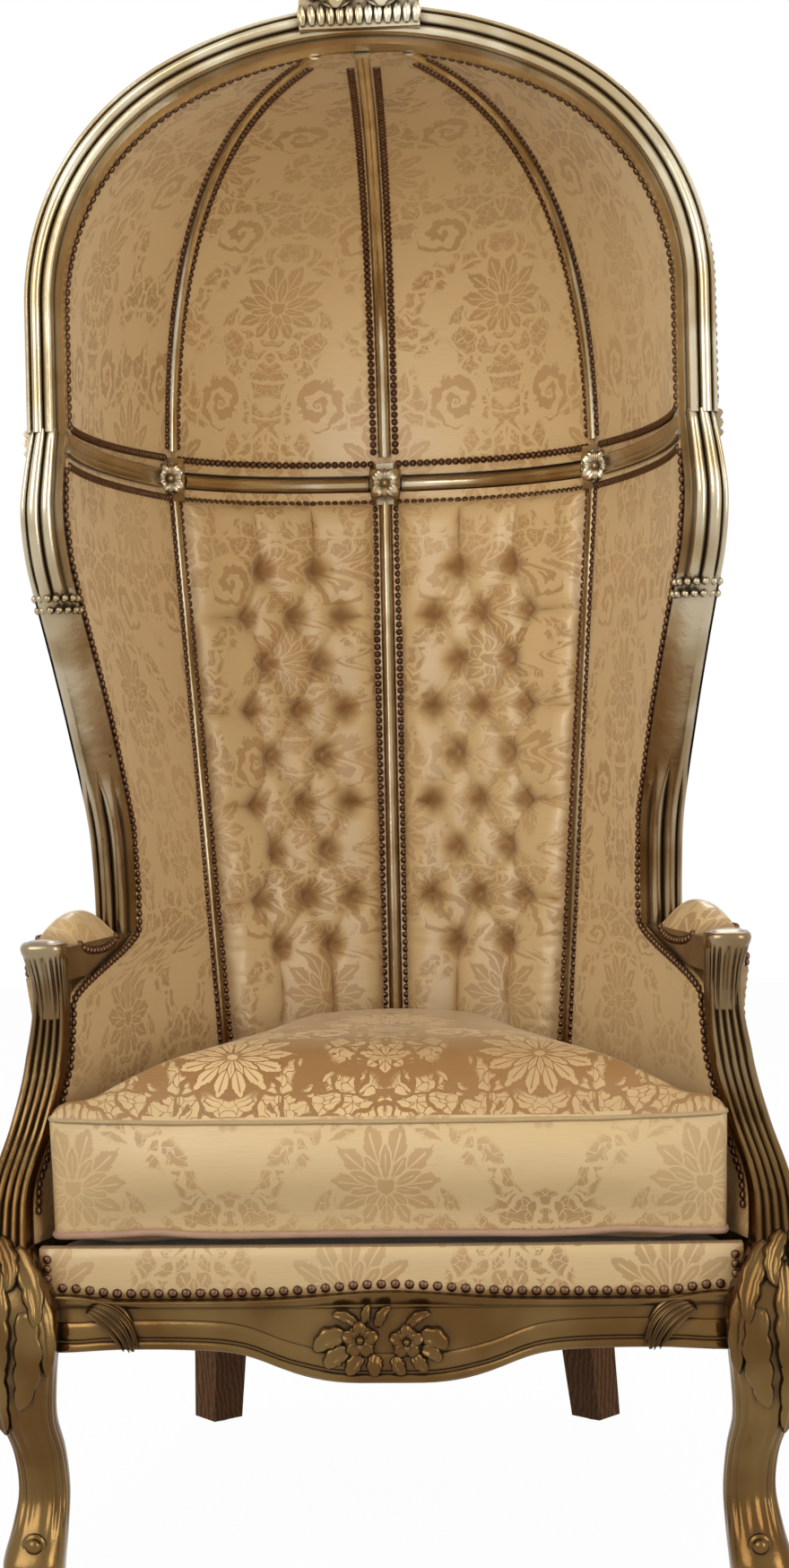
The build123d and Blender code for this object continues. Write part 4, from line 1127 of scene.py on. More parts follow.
def tuft_folds(rows):
    """Fold lines as (start, end, depth share)."""
    folds = []
    for above, below in zip(rows, rows[1:]):
        pair, triple = (above, below) if len(above) == 2 else (below, above)
        for index, tuft in enumerate(pair):
            folds += [(tuft, triple[index], 0.55), (tuft, triple[index + 1], 0.55)]
    for x, z in rows[0]:
        folds.append(((x, z), (x * 1.05, back_high), 0.75))
    for x, z in rows[-1]:
        folds.append(((x, z), (x * 0.97, back_low), 0.75))
    for row in rows[1::2]:
        (first_x, z), (last_x, _) = row[0], row[-1]
        folds.append(((first_x, z), (0.0, z - 0.004), 0.7))
        folds.append(((last_x, z), (back_width(z), z - 0.004), 0.7))
    for row in rows[0::2]:
        (first_x, z), (last_x, _) = row[0], row[-1]
        folds.append(((0.030, z), (0.0, z), 0.35))
        folds.append(((back_width(z) - 0.030, z), (back_width(z), z), 0.35))
    return folds


def away_from(point, start, end):
    """Distance from a point to a line piece."""
    dx, dy = end[0] - start[0], end[1] - start[1]
    along = clamp(((point[0] - start[0]) * dx + (point[1] - start[1]) * dy) / (dx * dx + dy * dy))
    return math.hypot(point[0] - start[0] - dx * along, point[1] - start[1] - dy * along)


tuft_rows_found = tuft_places()
fold_lines = tuft_folds(tuft_rows_found)
tuft_points = [tuft for row in tuft_rows_found for tuft in row]


def tufted_swell(s, t):
    """How far the tufted cloth stands in front of its base."""
    z = lerp(back_low, back_high, t)
    width = back_width(z)
    point = (s * width, z)
    edge = min(s * width, (1 - s) * width, (back_high - z), (z - back_low) + 0.03) - 0.016
    hold = math.sqrt(max(0.0, 1 - (1 - clamp(edge / 0.030)) ** 2))
    near = 1.0
    for start, end, depth in fold_lines:
        if min(start[1], end[1]) - fold_reach < z < max(start[1], end[1]) + fold_reach:
            share = clamp(away_from(point, start, end) / fold_reach)
            near = min(near, 1 - depth * (1 - math.sqrt(max(0.0, 1 - (1 - share) ** 2))))
    pit = sum(math.exp(-((math.dist(point, tuft) / pit_radius) ** 2)) for tuft in tuft_points)
    ripple = noise.noise(Vector((point[0] * 18, z * 18, 3.0))) * ripple_height
    fade = math.exp(-min(s, 1 - s) * width / gather_reach)
    gathers = gather_height * math.sin(z * 420) * fade * clamp(hold * 1.6)
    pillow = pillow_height * hold * lerp(0.25, 1.0, near)
    return pillow - pit_depth * min(pit, 1.2) * hold + ripple * hold + gathers + 0.001


def tufted_front(s, t):
    return back_point(lerp(back_low, back_high, t), s, -tufted_swell(s, t))


def tufted_back(s, t):
    return back_point(lerp(back_low, back_high, t), s, panel_thickness)


def pucker_shade_at(s, t):
    """1 at a sewn point and along the short arms of the star that its folds make: the mask of the painted
    shade round each tuft.
    """
    z = lerp(back_low, back_high, t)
    across = s * back_width(z)
    share = 0.0
    for tuft_x, tuft_z in tuft_points:
        reach = math.dist((across, z), (tuft_x, tuft_z))
        if reach < 3 * pucker_reach:
            arms = abs(math.cos(2 * math.atan2(z - tuft_z, across - tuft_x))) ** 3
            share = max(share, math.exp(-((reach / (pucker_reach * lerp(0.62, 1.25, arms))) ** 2)))
    return share


tufted_columns, tufted_rows, pucker_reach = 76, 214, 0.0125
tufted_shell = [grid_of(at, tufted_columns, tufted_rows) for at in (tufted_front, tufted_back)]
pucker_shades = grid_of(pucker_shade_at, tufted_columns, tufted_rows)
tufted_pair = both_quilts("back_tufted", "back_panel_tufted", tufted_shell)
# Each tufted panel carries the mask of its painted shade round the tufts
for piece, rows in zip(tufted_pair, (pucker_shades, [row[::-1] for row in pucker_shades])):
    layer = piece.data.attributes.new("pucker_shade", "FLOAT", "POINT")
    for index, share in enumerate(share for row in rows for share in row):
        layer.data[index].value = share

# Nails along the members and the panels' free edges
hood_sides = (inner_centre_hood_at, outer_centre_hood_at, inner_side_hood_at, outer_side_hood_at)
for at, sides, puff in (
    (lambda s, t, out: back_point(lerp(leg_top, back_high, t), s, out), ("s0", "s1", "t1"), 0.001),
    (inner_side_at, ("s0", "t1"), cloth_puff), (inner_centre_hood_at, ("s0", "s1", "t0"), hood_puff),
    (inner_side_hood_at, ("s0", "t0"), hood_puff), (outer_back_at, ("s0", "s1", "t1"), tight_puff),
    (outer_side_at, ("s0", "t1"), tight_puff), (outer_centre_hood_at, ("s0", "s1", "t0"), tight_puff),
    (outer_side_hood_at, ("s0", "t0"), tight_puff),
):
    for side in sides:
        low, high = (0.03, 0.968 if at in hood_sides else 0.985) if side[0] == "s" else (0.05, 0.95)
        nails.row(panel_line(at, side, rail_clear, -puff * 0.86, 40, low, high))
for at, inset, puff, low in (
    (inner_side_hood_at, 0.009, hood_puff, 0.03), (outer_side_hood_at, 0.017, tight_puff, 0.03),
    (inner_side_at, 0.008, cloth_puff, 0.04), (outer_side_at, 0.015, tight_puff, 0.02),
):
    nails.row(panel_line(at, "s1", inset, -puff * 0.70, 140, low, 0.975))
for at in (outer_side_at, outer_back_at):
    nails.row(panel_line(at, "t0", 0.010, -tight_puff * 0.70, 40, 0.05, 0.97))


# Arm pads
pad_columns, pad_ring = 40, 20


def pad_rings():
    rings = []
    for step in range(pad_columns + 1):
        share = lerp(pad_back_share, pad_front_share, step / pad_columns)
        swell = max(0.08, math.sin(math.pi * step / pad_columns)) ** 0.38
        ring = []
        for place in range(pad_ring + 1):
            angle = math.pi * place / pad_ring
            out = lerp(0.001, arm_rail_outside + pad_overhang - 0.001, (1 - math.cos(angle)) / 2)
            lift = math.sin(angle) ** 0.75
            flap = pad_flap * swell * clamp(math.cos(angle)) ** 2
            point = side_point(arm_height, False, share, out - flap * 0.25)
            rise = (pad_rise - 0.002) * swell * lift
            ring.append(Vector((point.x, point.y, arm_top + 0.001 + rise - flap)))
        rings.append(ring)
    return rings


def pad_piece(name, rings):
    piece = loft(name, rings, damask_cloth, 70)
    add_cloth_map(piece, [(v.co.x, v.co.y + v.co.z) for v in piece.data.vertices])
    return piece


pad_shape = pad_rings()
for side, rings in (("right", pad_shape), ("left", mirror_rings(pad_shape))):
    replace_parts(pad_piece(f"arm_cushion_{side}", rings), f"arm_pad_{side}")
for edge in (0, pad_ring):
    line = []
    for ring in pad_shape[1:-1]:
        outward = (ring[edge].xy - ring[pad_ring // 2].xy).to_3d().normalized()
        line.append((ring[edge] + up_way * 0.0045 + outward * 0.0002, outward))
    nails.row(line)


# Seat border
border_half, wave_half = 0.372, 0.362


def border_at(s, t, out):
    ends = apron_back_y - apron_thickness + border_inset + border_bow
    x = lerp(-border_half, border_half, s)
    y = ends - border_bow * (1 - (x / half_width) ** 2)
    return Vector((x, y + out, lerp(rail_top + 0.0005, cushion_base - 0.0008, t)))


border_shell = swollen(border_at, 90, 12, 0.005, 0.018, 0.02, 0.74, 0.055)
border = quilt("seat_border_cover", *border_shell, damask_cloth)
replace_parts(border, "seat_front_border")


def border_wave(x):
    """Height of the nail row over the rail: arched over the carving and raised at the legs."""
    return 0.0078 + 0.0088 * math.exp(-((x / 0.090) ** 2)) + 0.0060 * smooth((abs(x) - 0.285) / 0.06)


wave_line, gilded_edge, wave_steps = [], [], 120
for share in spread(wave_steps + 1):
    x = lerp(-wave_half, wave_half, share)
    face = border_at((x + border_half) / (2 * border_half), 0.0, 0.0)
    wave_line.append((face + Vector((0, -0.0038, border_wave(x))), front_way))
    top = border_wave(x) - 0.0072
    section = [(-0.006, 0.002), (-0.006, 0.0115), (top - 0.0045, 0.0115), (top - 0.002, 0.0140)]
    section += [(top, 0.0120), (top + 0.001, 0.002)]
    gilded_edge.append([face + front_way * out + up_way * z for z, out in section])
front_nails.row(wave_line, 0.0057, 0.0040, 0.0148)
for sign in (-1, 1):
    start = border_at(0.5 + sign * 0.488, 0.0, 0.0)
    upright = [(start + Vector((0, -0.0038, z)), front_way) for z in (0.024, 0.034, 0.044)]
    front_nails.row(upright, 0.0050, 0.0038, 0.0100)


# Sprung deck under the cushion, and the sheet under the frame
deck_gap, deck_front_half, seat_side_share, cover_inset, cover_thickness = 0.0015, 0.350, 0.88, 0.012, 0.0015
rail_low, deck_width, deck_length, soft_edge = rail_top - 0.052, 0.62, 0.45, 0.05


def seat_patch(s, t, inset, front_y):
    """A plan point inside the rails: s from left to right, t from front to back."""
    sign, reach = (1 if s > 0.5 else -1), abs(2 * s - 1)

    def edge(share):
        if share < 0.06:
            return mix((deck_front_half, front_y), edge(0.06), share / 0.06)
        point = side_point(rail_top, False, (1 - share) / 0.94 * seat_side_share, -inset)
        return (point.x, point.y)

    rear = back_point(rail_top, reach, -inset)
    corner, side = edge(1.0), edge(t)
    x = lerp(reach * deck_front_half, rear.x, t) + (side[0] - lerp(deck_front_half, corner[0], t)) * reach
    y = lerp(front_y, rear.y, t) + (side[1] - lerp(front_y, corner[1], t)) * reach
    return sign * x, y


def deck_at(s, t, low):
    x, y = seat_patch(s, t, deck_gap, apron_back_y - web_rest)
    if low:
        return Vector((x, y, rail_top + 0.0045))
    springs = math.cos(10 * math.pi * s) * math.cos(8 * math.pi * t)
    puff = rim_share(deck_width, deck_length, s, t, soft_edge)
    return Vector((x, y, cushion_base - 0.0010 - 0.014 * (1 - puff) - 0.0016 * (1 - springs) * puff))


deck_shell = [grid_of(lambda s, t: deck_at(s, t, low), 70, 50) for low in (False, True)]
deck = quilt("seat_deck_pad", *deck_shell, lining, "lining")
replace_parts(deck, "seat_deck")


def cover_at(s, t, lift):
    x, y = seat_patch(s, t, cover_inset, apron_back_y)
    sag = 0.004 * rim_share(deck_width, deck_length, s, t, 0.22)
    loose = rim_share(deck_width, deck_length, s, t, soft_edge)
    ripple = 0.0006 * noise.noise(Vector((x * 16, y * 16, 5.0))) * loose
    return Vector((x, y, rail_low - cover_thickness - sag + ripple + lift))


cover_shell = [grid_of(lambda s, t: cover_at(s, t, lift), 60, 44) for lift in (cover_thickness - 0.0003, 0.0)]
dust_sheet = quilt("dust_sheet", *cover_shell, cambric, "black_lining")
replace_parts(dust_sheet, "dust_cover")
cover_face = cover_shell[0]
rim = [row[-1] for row in cover_face] + cover_face[-1][-2::-1]
rim += [row[0] for row in cover_face[-2::-1]] + cover_face[0][1:-1]


# Loose cushion
cushion_voxel, cushion_cap, cushion_frames = 0.0055, 0.012, 20
cushion_shoulder, cushion_sag, evening_turns = 0.20, -0.004, 14


def cushion_outline(shrink):
    """Plan of the cushion, drawn in by shrink, anticlockwise from the front left corner."""
    front = []
    for share in spread(25):
        x = lerp(-cushion_front_half, cushion_front_half, share)
        front.append((x, cushion_front_y - 0.005 * (1 - (2 * share - 1) ** 2) + shrink))
    ear_x = cushion_front_half - shrink
    side = [(ear_x, lerp(cushion_front_y, cushion_ear_back_y, share)) for share in (0.3, 0.65)]
    side.append((ear_x, cushion_ear_back_y - shrink))
    waist = (cushion_waist_half - shrink, cushion_ear_back_y + cushion_corner - shrink)
    rear = (cushion_rear_half - shrink, cushion_rear_y)
    side += [bowed(waist, rear, 0.005, share) for share in spread(16)]
    back = []
    for share in spread(15)[1:-1]:
        x = lerp(cushion_rear_half - shrink, -cushion_rear_half + shrink, share)
        swell = (cushion_back_y - cushion_rear_y - shrink) * (1 - (2 * share - 1) ** 2)
        back.append((x, cushion_rear_y + swell))
    front[0] = (front[0][0] + shrink, front[0][1])
    front[-1] = (front[-1][0] - shrink, front[-1][1])
    return front + side + back + [(-x, y) for x, y in side[::-1]]


def plan_depth(x, y, outline):
    """How far a plan point lies inside the outline."""
    return min(away_from((x, y), a, b) for a, b in zip(outline, outline[1:] + outline[:1]))


def crown_at(x, y, outline, height):
    """Height of the cushion's top over its seam."""
    depth = plan_depth(x, y, outline)
    return height * (1 - (1 - clamp(depth / cushion_shoulder)) ** 2.9)


def seat_cushion():
    outline = cushion_outline(0.004)
    low, high = cushion_base + 0.002, cushion_base + cushion_edge_height
    points = [Vector((x, y, z)) for z in (low, high) for x, y in outline]
    count = len(outline)
    faces = ring_faces(2, count) + [tuple(range(count))[::-1], tuple(range(count, 2 * count))]
    piece = mesh_piece("seat_cushion_cover", points, faces, damask_cloth, "cushion")
    piece.parent = None
    remesh = piece.modifiers.new("remesh", "REMESH")
    remesh.mode, remesh.voxel_size = "VOXEL", cushion_voxel
    apply_modifiers(piece)
    crown = cushion_crown_height - cushion_edge_height - cushion_sag
    for vertex in piece.data.vertices:
        share = clamp((vertex.co.z - low) / (high - low))
        vertex.co.z += smooth(share) * crown_at(vertex.co.x, vertex.co.y, outline, crown)
    simulate(piece)
    for vertex in piece.data.vertices:
        vertex.co.z = max(vertex.co.z, cushion_base + 0.0003)
        floor_share = clamp((vertex.co.z - cushion_base) / 0.02)
        vertex.co.z = cushion_base + 0.0003 + (vertex.co.z - cushion_base) * lerp(0.9, 1.0, floor_share)
    return piece


def apply_modifiers(piece):
    mesh = bpy.data.meshes.new_from_object(piece.evaluated_get(bpy.context.evaluated_depsgraph_get()))
    piece.modifiers.clear()
    mesh.name = piece.data.name
    piece.data = mesh


def simulate(piece):
    """Blows the piece up as cloth, with each point kept within a cap of its start."""
    start = [vertex.co.copy() for vertex in piece.data.vertices]
    cloth = piece.modifiers.new("cloth", "CLOTH")
    cloth.settings.use_pressure = True
    cloth.settings.uniform_pressure_force = 4.0
    cloth.settings.quality = 4
    cloth.settings.effector_weights.gravity = 0.0
    scene = bpy.context.scene
    for number in range(1, cushion_frames + 1):
        scene.frame_set(number)
    apply_modifiers(piece)
    scene.frame_set(1)
    moves = [vertex.co - origin for vertex, origin in zip(piece.data.vertices, start)]
    moves = [move if move.length < cushion_cap else move.normalized() * cushion_cap for move in moves]
    for vertex, origin, move in zip(piece.data.vertices, start, evened(piece, moves)):
        vertex.co = origin + move


def evened(piece, moves):
    """Each point's move, averaged with its neighbours' so that the cloth has no dents."""
    for turn in range(evening_turns):
        total, count = [move.copy() for move in moves], [1] * len(moves)
        for edge in piece.data.edges:
            a, b = edge.vertices
            total[a] += moves[b]
            total[b] += moves[a]
            count[a] += 1
            count[b] += 1
        moves = [part / number for part, number in zip(total, count)]
    return moves


cushion = seat_cushion()


def map_cushion(piece):
    """Cloth coordinates: the top and bottom from above, the boxing from the front and the sides."""
    seam = cushion_base + cushion_edge_height + 0.002
    layer = piece.data.uv_layers.new(name="cloth")
    # The top faces take the copy with painted sheen
    piece.data.materials.append(damask_topside_sheen)
    for face in piece.data.polygons:
        face.use_smooth = True
        above = face.center.z > seam
        face.material_index = int(above)
        for corner in face.loop_indices:
            x, y, z = piece.data.vertices[piece.data.loops[corner].vertex_index].co
            if above or face.normal.z < -0.6:
                layer.data[corner].uv = (x + 0.167, y + 0.700)
            elif abs(face.normal.y) > abs(face.normal.x):
                layer.data[corner].uv = (x + 0.167, z - 0.20)
            else:
                layer.data[corner].uv = (y, z - 0.20)


map_cushion(cushion)
smoothing = cushion.modifiers.new("finer", "SUBSURF")
smoothing.levels = smoothing.render_levels = 1
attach(cushion, "cushion")
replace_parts(cushion, "seat_cushion")


def welt(name, piece, outline, height, radius, material):
    """A corded seam laid on the cushion along a plan outline at a height over its base."""
    z = cushion_base + height
    mesh = piece.data
    tree = BVHTree.FromPolygons([v.co for v in mesh.vertices], [tuple(f.vertices) for f in mesh.polygons])
    dense = []
    for a, b in zip(outline, outline[1:] + outline[:1]):
        steps = max(1, round(math.dist(a, b) / 0.012))
        dense += [mix(a, b, step / steps) for step in range(steps)]
    line = []
    for x, y in dense:
        found = tree.find_nearest(Vector((x, y, z)))
        line.append(found[0] + found[1] * radius * 0.25)
    for turn in range(3):
        line = [(line[i - 1] + line[i] * 2 + line[(i + 1) % len(line)]) / 4 for i in range(len(line))]
    rings = []
    for index, point in enumerate(line):
        ahead = (line[(index + 1) % len(line)] - line[index - 1]).normalized()
        side = ahead.cross(up_way).normalized()
        up = side.cross(ahead)
        angles = [2 * math.pi * step / 10 for step in range(10)]
        rings.append([point + side * radius * math.cos(a) + up * radius * math.sin(a) for a in angles])
    points = [p for ring in rings for p in ring]
    return mesh_piece(name, points, ring_faces(len(rings), 10, True), material, "cushion")


edge_outline = cushion_outline(-0.004)
welt("cushion_welt_top", cushion, edge_outline, cushion_edge_height + 0.002, 0.0026, gold_cord)
welt("cushion_welt_bottom", cushion, edge_outline, 0.006, 0.0038, welt_cloth)

nails.piece("upholstery_nails", antique_brass, "glide_steel")
front_nails.piece("border_nails", antique_brass, "glide_steel")

# Carved ornament
carving, middle_carving = Gather(), Gather(both=False)


def rosette_at(plan, turn, facing_turn):
    """Centre and facing of a rosette on its joint block."""
    facing = turned(facing_turn)
    spot = shifted(plan, turned(turn), joint_block_offset)
    spot = shifted(spot, facing, -joint_block_reach - rosette_proud)
    return Vector((*spot, belt_height)), Vector((-facing[0], -facing[1], 0))


rosette_form = {"radius": 0.0235, "height": 0.009, "petals": 4, "start": 45.0}
carving.flower(*rosette_at(stile_top, stile_turn, rosette_turn), **rosette_form)
middle_carving.flower(*rosette_at((0, spine_top_y), spine_turn, spine_turn), **rosette_form)

# Beaded collar of the posts
for share in (collar_share - 0.011, collar_share + 0.011):
    x, y, width, depth = post_box(share)
    centre, line = Vector((x, y, lerp(arm_top, post_top, share))), []
    for angle in [math.radians(lerp(200, 395, step / 24)) for step in range(25)]:
        way = Vector((math.cos(angle), math.sin(angle), 0))
        reach = min(width / 2 / max(abs(way.x), 1e-6), depth / 2 / max(abs(way.y), 1e-6))
        line.append((centre + way * min(reach, 0.56 * width) * 0.99, way))
    carving.row(line, 0.0047, 0.0050, 0.0094)


def capital_rings():
    """Fluted capital of the arm support, which flares up to a rolled lip."""
    rings = []
    for z, scale, flute in capital_stations:
        x, y, width, depth = slim_support_box(min(1.0, (z - leg_top) / (arm_top - leg_top)))
        lean = clamp((z - capital_foot) / (arm_top - capital_foot)) * capital_lean
        ring = []
        for step in range(capital_sides):
            angle = 2 * math.pi * step / capital_sides
            grooved = 1 - flute * (0.5 - 0.5 * math.cos(capital_flutes * angle)) ** 1.6
            u, v = squared(angle, capital_power)
            out_x, out_y = u * width / 2 * scale * grooved, v * depth / 2 * scale * grooved
            ring.append(Vector((x + out_x, y + out_y - lean, z)))
        rings.append(ring)
    return rings


capital_foot, capital_lean, capital_flutes, capital_sides, capital_power = 0.596, 0.010, 22, 132, 0.72
# Height, size as a share of the support's, depth of the flutes
capital_stations = [
    (0.592, 0.94, 0.0), (0.596, 1.01, 0.02), (0.606, 1.03, 0.10), (0.620, 1.04, 0.16), (0.640, 1.06, 0.18),
    (0.654, 1.08, 0.18), (0.661, 1.09, 0.12), (0.664, 1.08, 0.0), (0.668, 1.11, 0.0), (0.673, 1.11, 0.0),
    (0.677, 1.07, 0.0), (0.679, 0.98, 0.0), (0.678, 0.90, 0.0), (0.681, 0.70, 0.0), (0.682, 0.30, 0.0),
]
carving.skin(capital_rings())


def leg_point(angle, z, out=0.0):
    """A point of the cabriole leg's face: angle 0 looks out to the side, -90 to the front."""
    x, y, width, depth = leg_box((z - glide_height) / (leg_top - glide_height))
    u, v = squared(math.radians(angle), 2 / leg_roundness)
    return Vector((x + u * (width / 2 + out), y + v * (depth / 2 + out), z))


def leg_leaf(start, end, width, height, swing):
    """A leaf on the leg between two places (angle, z), swung sideways in between, its tip rolled off."""
    places = [mix(start, end, share) for share in (0.0, 0.33, 0.70, 1.0)]
    places = [(angle + push * swing, z) for (angle, z), push in zip(places, (0.0, 1.0, 0.8, -0.5))]
    path = [leg_point(*place, lift) for place, lift in zip(places, (-0.002, 0.001, 0.002, 0.005))]
    angle = math.radians((start[0] + end[0]) / 2)
    carving.leaf(path, Vector((math.cos(angle), math.sin(angle), 0.0)), width, height, 4)


# Acanthus of the knee: leaves as start and end (angle, z), width, height, sideways swing
for start, end, width, height, swing in (
    ((-96, 0.300), (-92, 0.196), 0.034, 0.0075, -9.0), ((-124, 0.330), (-134, 0.232), 0.026, 0.0060, -8.0),
    ((-52, 0.290), (-48, 0.168), 0.038, 0.0085, 9.0), ((-76, 0.345), (-66, 0.238), 0.032, 0.0105, 12.0),
    ((-14, 0.310), (-12, 0.205), 0.036, 0.0080, 9.0), ((14, 0.340), (18, 0.240), 0.030, 0.0060, 8.0),
    ((-110, 0.362), (-112, 0.285), 0.028, 0.0095, -12.0), ((-34, 0.356), (-30, 0.262), 0.030, 0.0100, 14.0),
    ((-86, 0.372), (-90, 0.322), 0.024, 0.0105, -10.0), ((-58, 0.374), (-52, 0.318), 0.026, 0.0110, 12.0),
):
    leg_leaf(start, end, width, height, swing)
knob = leg_point(-90, 0.053, -0.0005)
carving.dome(knob, front_way, 0.0135, 0.0030, 16)
carving.dome(knob + front_way * 0.002, front_way, 0.0092, 0.0068, 14)


def apron_front(x, z):
    """A point of the apron's bowed face."""
    ends = apron_back_y - apron_thickness + apron_bow
    return Vector((x, ends - apron_bow * (1 - (x / half_width) ** 2), z))


def apron_low(x):
    """Lower edge of the apron at a distance from the middle."""
    share = clamp(abs(x) / leg_box(1)[0])
    rows = [(place, drop, 0, 0) for place, drop in apron_edge_shares]
    return rail_top - eased(rows, min(share, 0.999), 1) * apron_centre_drop


def edge_moulding(height_at, lift, radius, reach, proud=0.9):
    """A half-round lip along the apron's face; proud is its relief as a share of its radius."""
    rings = []
    for share in spread(61):
        x = lerp(-reach, reach, share)
        centre = apron_front(x, height_at(x) + lift)
        ring = []
        for angle in [math.pi * step / 6 for step in range(7)]:
            out = radius * proud * math.sin(angle) - 0.001
            ring.append(centre + up_way * radius * math.cos(angle) + front_way * out)
        rings.append(ring)
    middle_carving.skin(rings)


apron_reach = 0.352
edge_moulding(apron_low, 0.0052, 0.0052, apron_reach)
middle_carving.skin(gilded_edge)
edge_moulding(lambda x: rail_top, -0.0045, 0.0032, apron_reach)
edge_moulding(apron_low, 0.0220, 0.0105, apron_reach, 0.42)


def apron_leaf(gather, start, bend, end, width, height, lobes=3):
    """A leaf on the apron through three places (x, z)."""
    spots = [start, mix(start, bend, 0.7), mix(end, bend, 0.7), end]
    path = [apron_front(x, z) + front_way * lift for (x, z), lift in zip(spots, (0.0, 0.002, 0.003, 0.004))]
    gather.leaf(path, front_way, width, height, lobes)


# Two flowers in the middle of the apron, their leaves, and the cuffs beside the legs, all in (x, z)
for x, z, radius in ((-0.0310, 0.2620, 0.0205), (0.0180, 0.2600, 0.0190)):
    middle_carving.flower(apron_front(x, z), front_way, radius, 0.0085, 5)
for start, bend, end, width in (
    ((-0.048, 0.266), (-0.066, 0.268), (-0.079, 0.250), 0.026),
    ((-0.044, 0.250), (-0.062, 0.246), (-0.066, 0.232), 0.024),
    ((-0.030, 0.246), (-0.040, 0.236), (-0.044, 0.225), 0.020),
    ((-0.014, 0.246), (-0.018, 0.234), (-0.014, 0.224), 0.020),
    ((0.006, 0.244), (0.008, 0.234), (0.016, 0.226), 0.018),
    ((0.026, 0.246), (0.032, 0.236), (0.040, 0.230), 0.018),
    ((0.034, 0.264), (0.050, 0.268), (0.060, 0.252), 0.026),
    ((0.034, 0.252), (0.050, 0.250), (0.052, 0.238), 0.018),
    ((-0.034, 0.278), (-0.048, 0.292), (-0.060, 0.288), 0.014),
    ((-0.012, 0.276), (-0.010, 0.290), (0.002, 0.298), 0.014),
    ((0.020, 0.276), (0.030, 0.290), (0.044, 0.290), 0.014),
    ((-0.024, 0.280), (-0.026, 0.292), (-0.020, 0.300), 0.012),
):
    apron_leaf(middle_carving, start, bend, end, width, 0.0075)
for start, bend, end, width, height in (
    ((0.314, 0.299), (0.284, 0.292), (0.272, 0.250), 0.030, 0.0060),
    ((0.312, 0.301), (0.276, 0.298), (0.266, 0.253), 0.0090, 0.0105),
    ((0.315, 0.298), (0.283, 0.292), (0.271, 0.250), 0.0090, 0.0120),
    ((0.318, 0.295), (0.290, 0.286), (0.276, 0.249), 0.0090, 0.0115),
    ((0.321, 0.292), (0.298, 0.280), (0.282, 0.250), 0.0080, 0.0095),
):
    apron_leaf(carving, start, bend, end, width, height, 1)

# Crest: gadrooned band, two flowers and a fan of leaves over them
crest_front_y = arch_front_y - crest_proud
crown_top = arch_crown_z + arch_crown_radius
for place in range(13):
    x = lerp(-0.060, 0.060, place / 12)
    low = Vector((x, crest_front_y, crown_top - 0.026))
    high = Vector((x * 1.03, crest_front_y, crown_top - 0.004))
    path = [low, low.lerp(high, 0.33) + front_way * 0.003, low.lerp(high, 0.7) + front_way * 0.004, high]
    middle_carving.leaf(path, front_way, 0.0098, 0.0055, 1)
for x in (-flower_offset, flower_offset):
    centre = Vector((x, crest_front_y - flower_proud, crown_top + flower_radius / 2))
    middle_carving.flower(centre, front_way, 0.0215, 0.0085, 6)
# Leaves of the crest: x, height over the crown, lean, length, width
for x, z, lean, length, width in (
    (0.0, 0.026, 0.0, 0.052, 0.026), (0.010, 0.034, 0.014, 0.040, 0.018), (0.040, 0.026, 0.016, 0.030, 0.020),
    (0.046, 0.002, 0.016, 0.030, 0.018), (0.020, 0.030, 0.026, 0.032, 0.016),
):
    for sign in (-1, 1) if x else (1,):
        start = Vector((x * sign, crest_front_y, crown_top + z))
        end = start + Vector((lean * sign, -0.004, length))
        swollen_places = [start.lerp(end, share) + front_way * 0.005 for share in (0.35, 0.75)]
        path = [start, *swollen_places, end]
        middle_carving.leaf(path, front_way, width, 0.0090, 3)
carving.piece("carved_ornament_sides", gold_leaf, "gilded_wood")
middle_carving.piece("carved_ornament_middle", gold_leaf, "gilded_wood")

# Finish of the nodes that stay in view
gilded_pairs = [
    f"{node}_{side}" for node in ("seat_side_rail", "arm_rail", "joint_block") for side in ("right", "left")
]
for material, nodes in (
    (gold_leaf, ["front_apron", "crest", "seat_back_rail", "joint_block_centre", *gilded_pairs]),
    (walnut, ["rear_leg_right", "rear_leg_left"]), (beech, ["corner_blocks"]),
    (jute, ["seat_webbing_lengthwise", "seat_webbing_crosswise"]), (steel, ["frame_screws", "glides"]),
):
    for node in nodes:
        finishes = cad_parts[node].data.materials
        finishes.clear()
        finishes.append(material)


# Floor, backdrop, light and camera
floor_bounce, shadow_share = (0.15, 0.115, 0.075, 1), 0.03
# Windows of the studio: direction in degrees, and the cosines at their edge and inside
studio_windows = ((223, 0.74, 0.92), (335, 0.90, 0.98), (95, 0.84, 0.95))
dim_brown, window_white = (0.20, 0.13, 0.07), (1.0, 0.98, 0.94)


def camera_white(name):
    """White with a faint shadow to the camera and in metal and glass, dull brown to what it lights."""
    n = Nodes(name)
    n.finish(base_color=floor_bounce, roughness=0.9, specular_ior_level=0.1)
    matte = n.add("ShaderNodeBsdfDiffuse", {0: (0.80, 0.80, 0.80, 1)})
    shine = n.add("ShaderNodeEmission", {0: (1, 1, 1, 1), 1: 1.0})
    seen_white = n.add("ShaderNodeMixShader", {0: 1 - shadow_share, 1: matte, 2: shine})
    both = n.add("ShaderNodeMixShader", {0: n.seen(), 1: n.surface, 2: seen_white})
    n.put(n.tree.nodes["Material Output"].inputs[0], both)
    return n.material


def flat_stage(name, half, z, material):
    mesh = bpy.data.meshes.new(name)
    corners = [(-half, -half, z), (half, -half, z), (half, half, z), (-half, half, z)]
    mesh.from_pydata(corners, [], [(0, 1, 2, 3)])
    mesh.materials.append(material)
    linked(name, mesh)


flat_stage("studio_floor", 6.0, -0.0005, camera_white("studio_floor"))


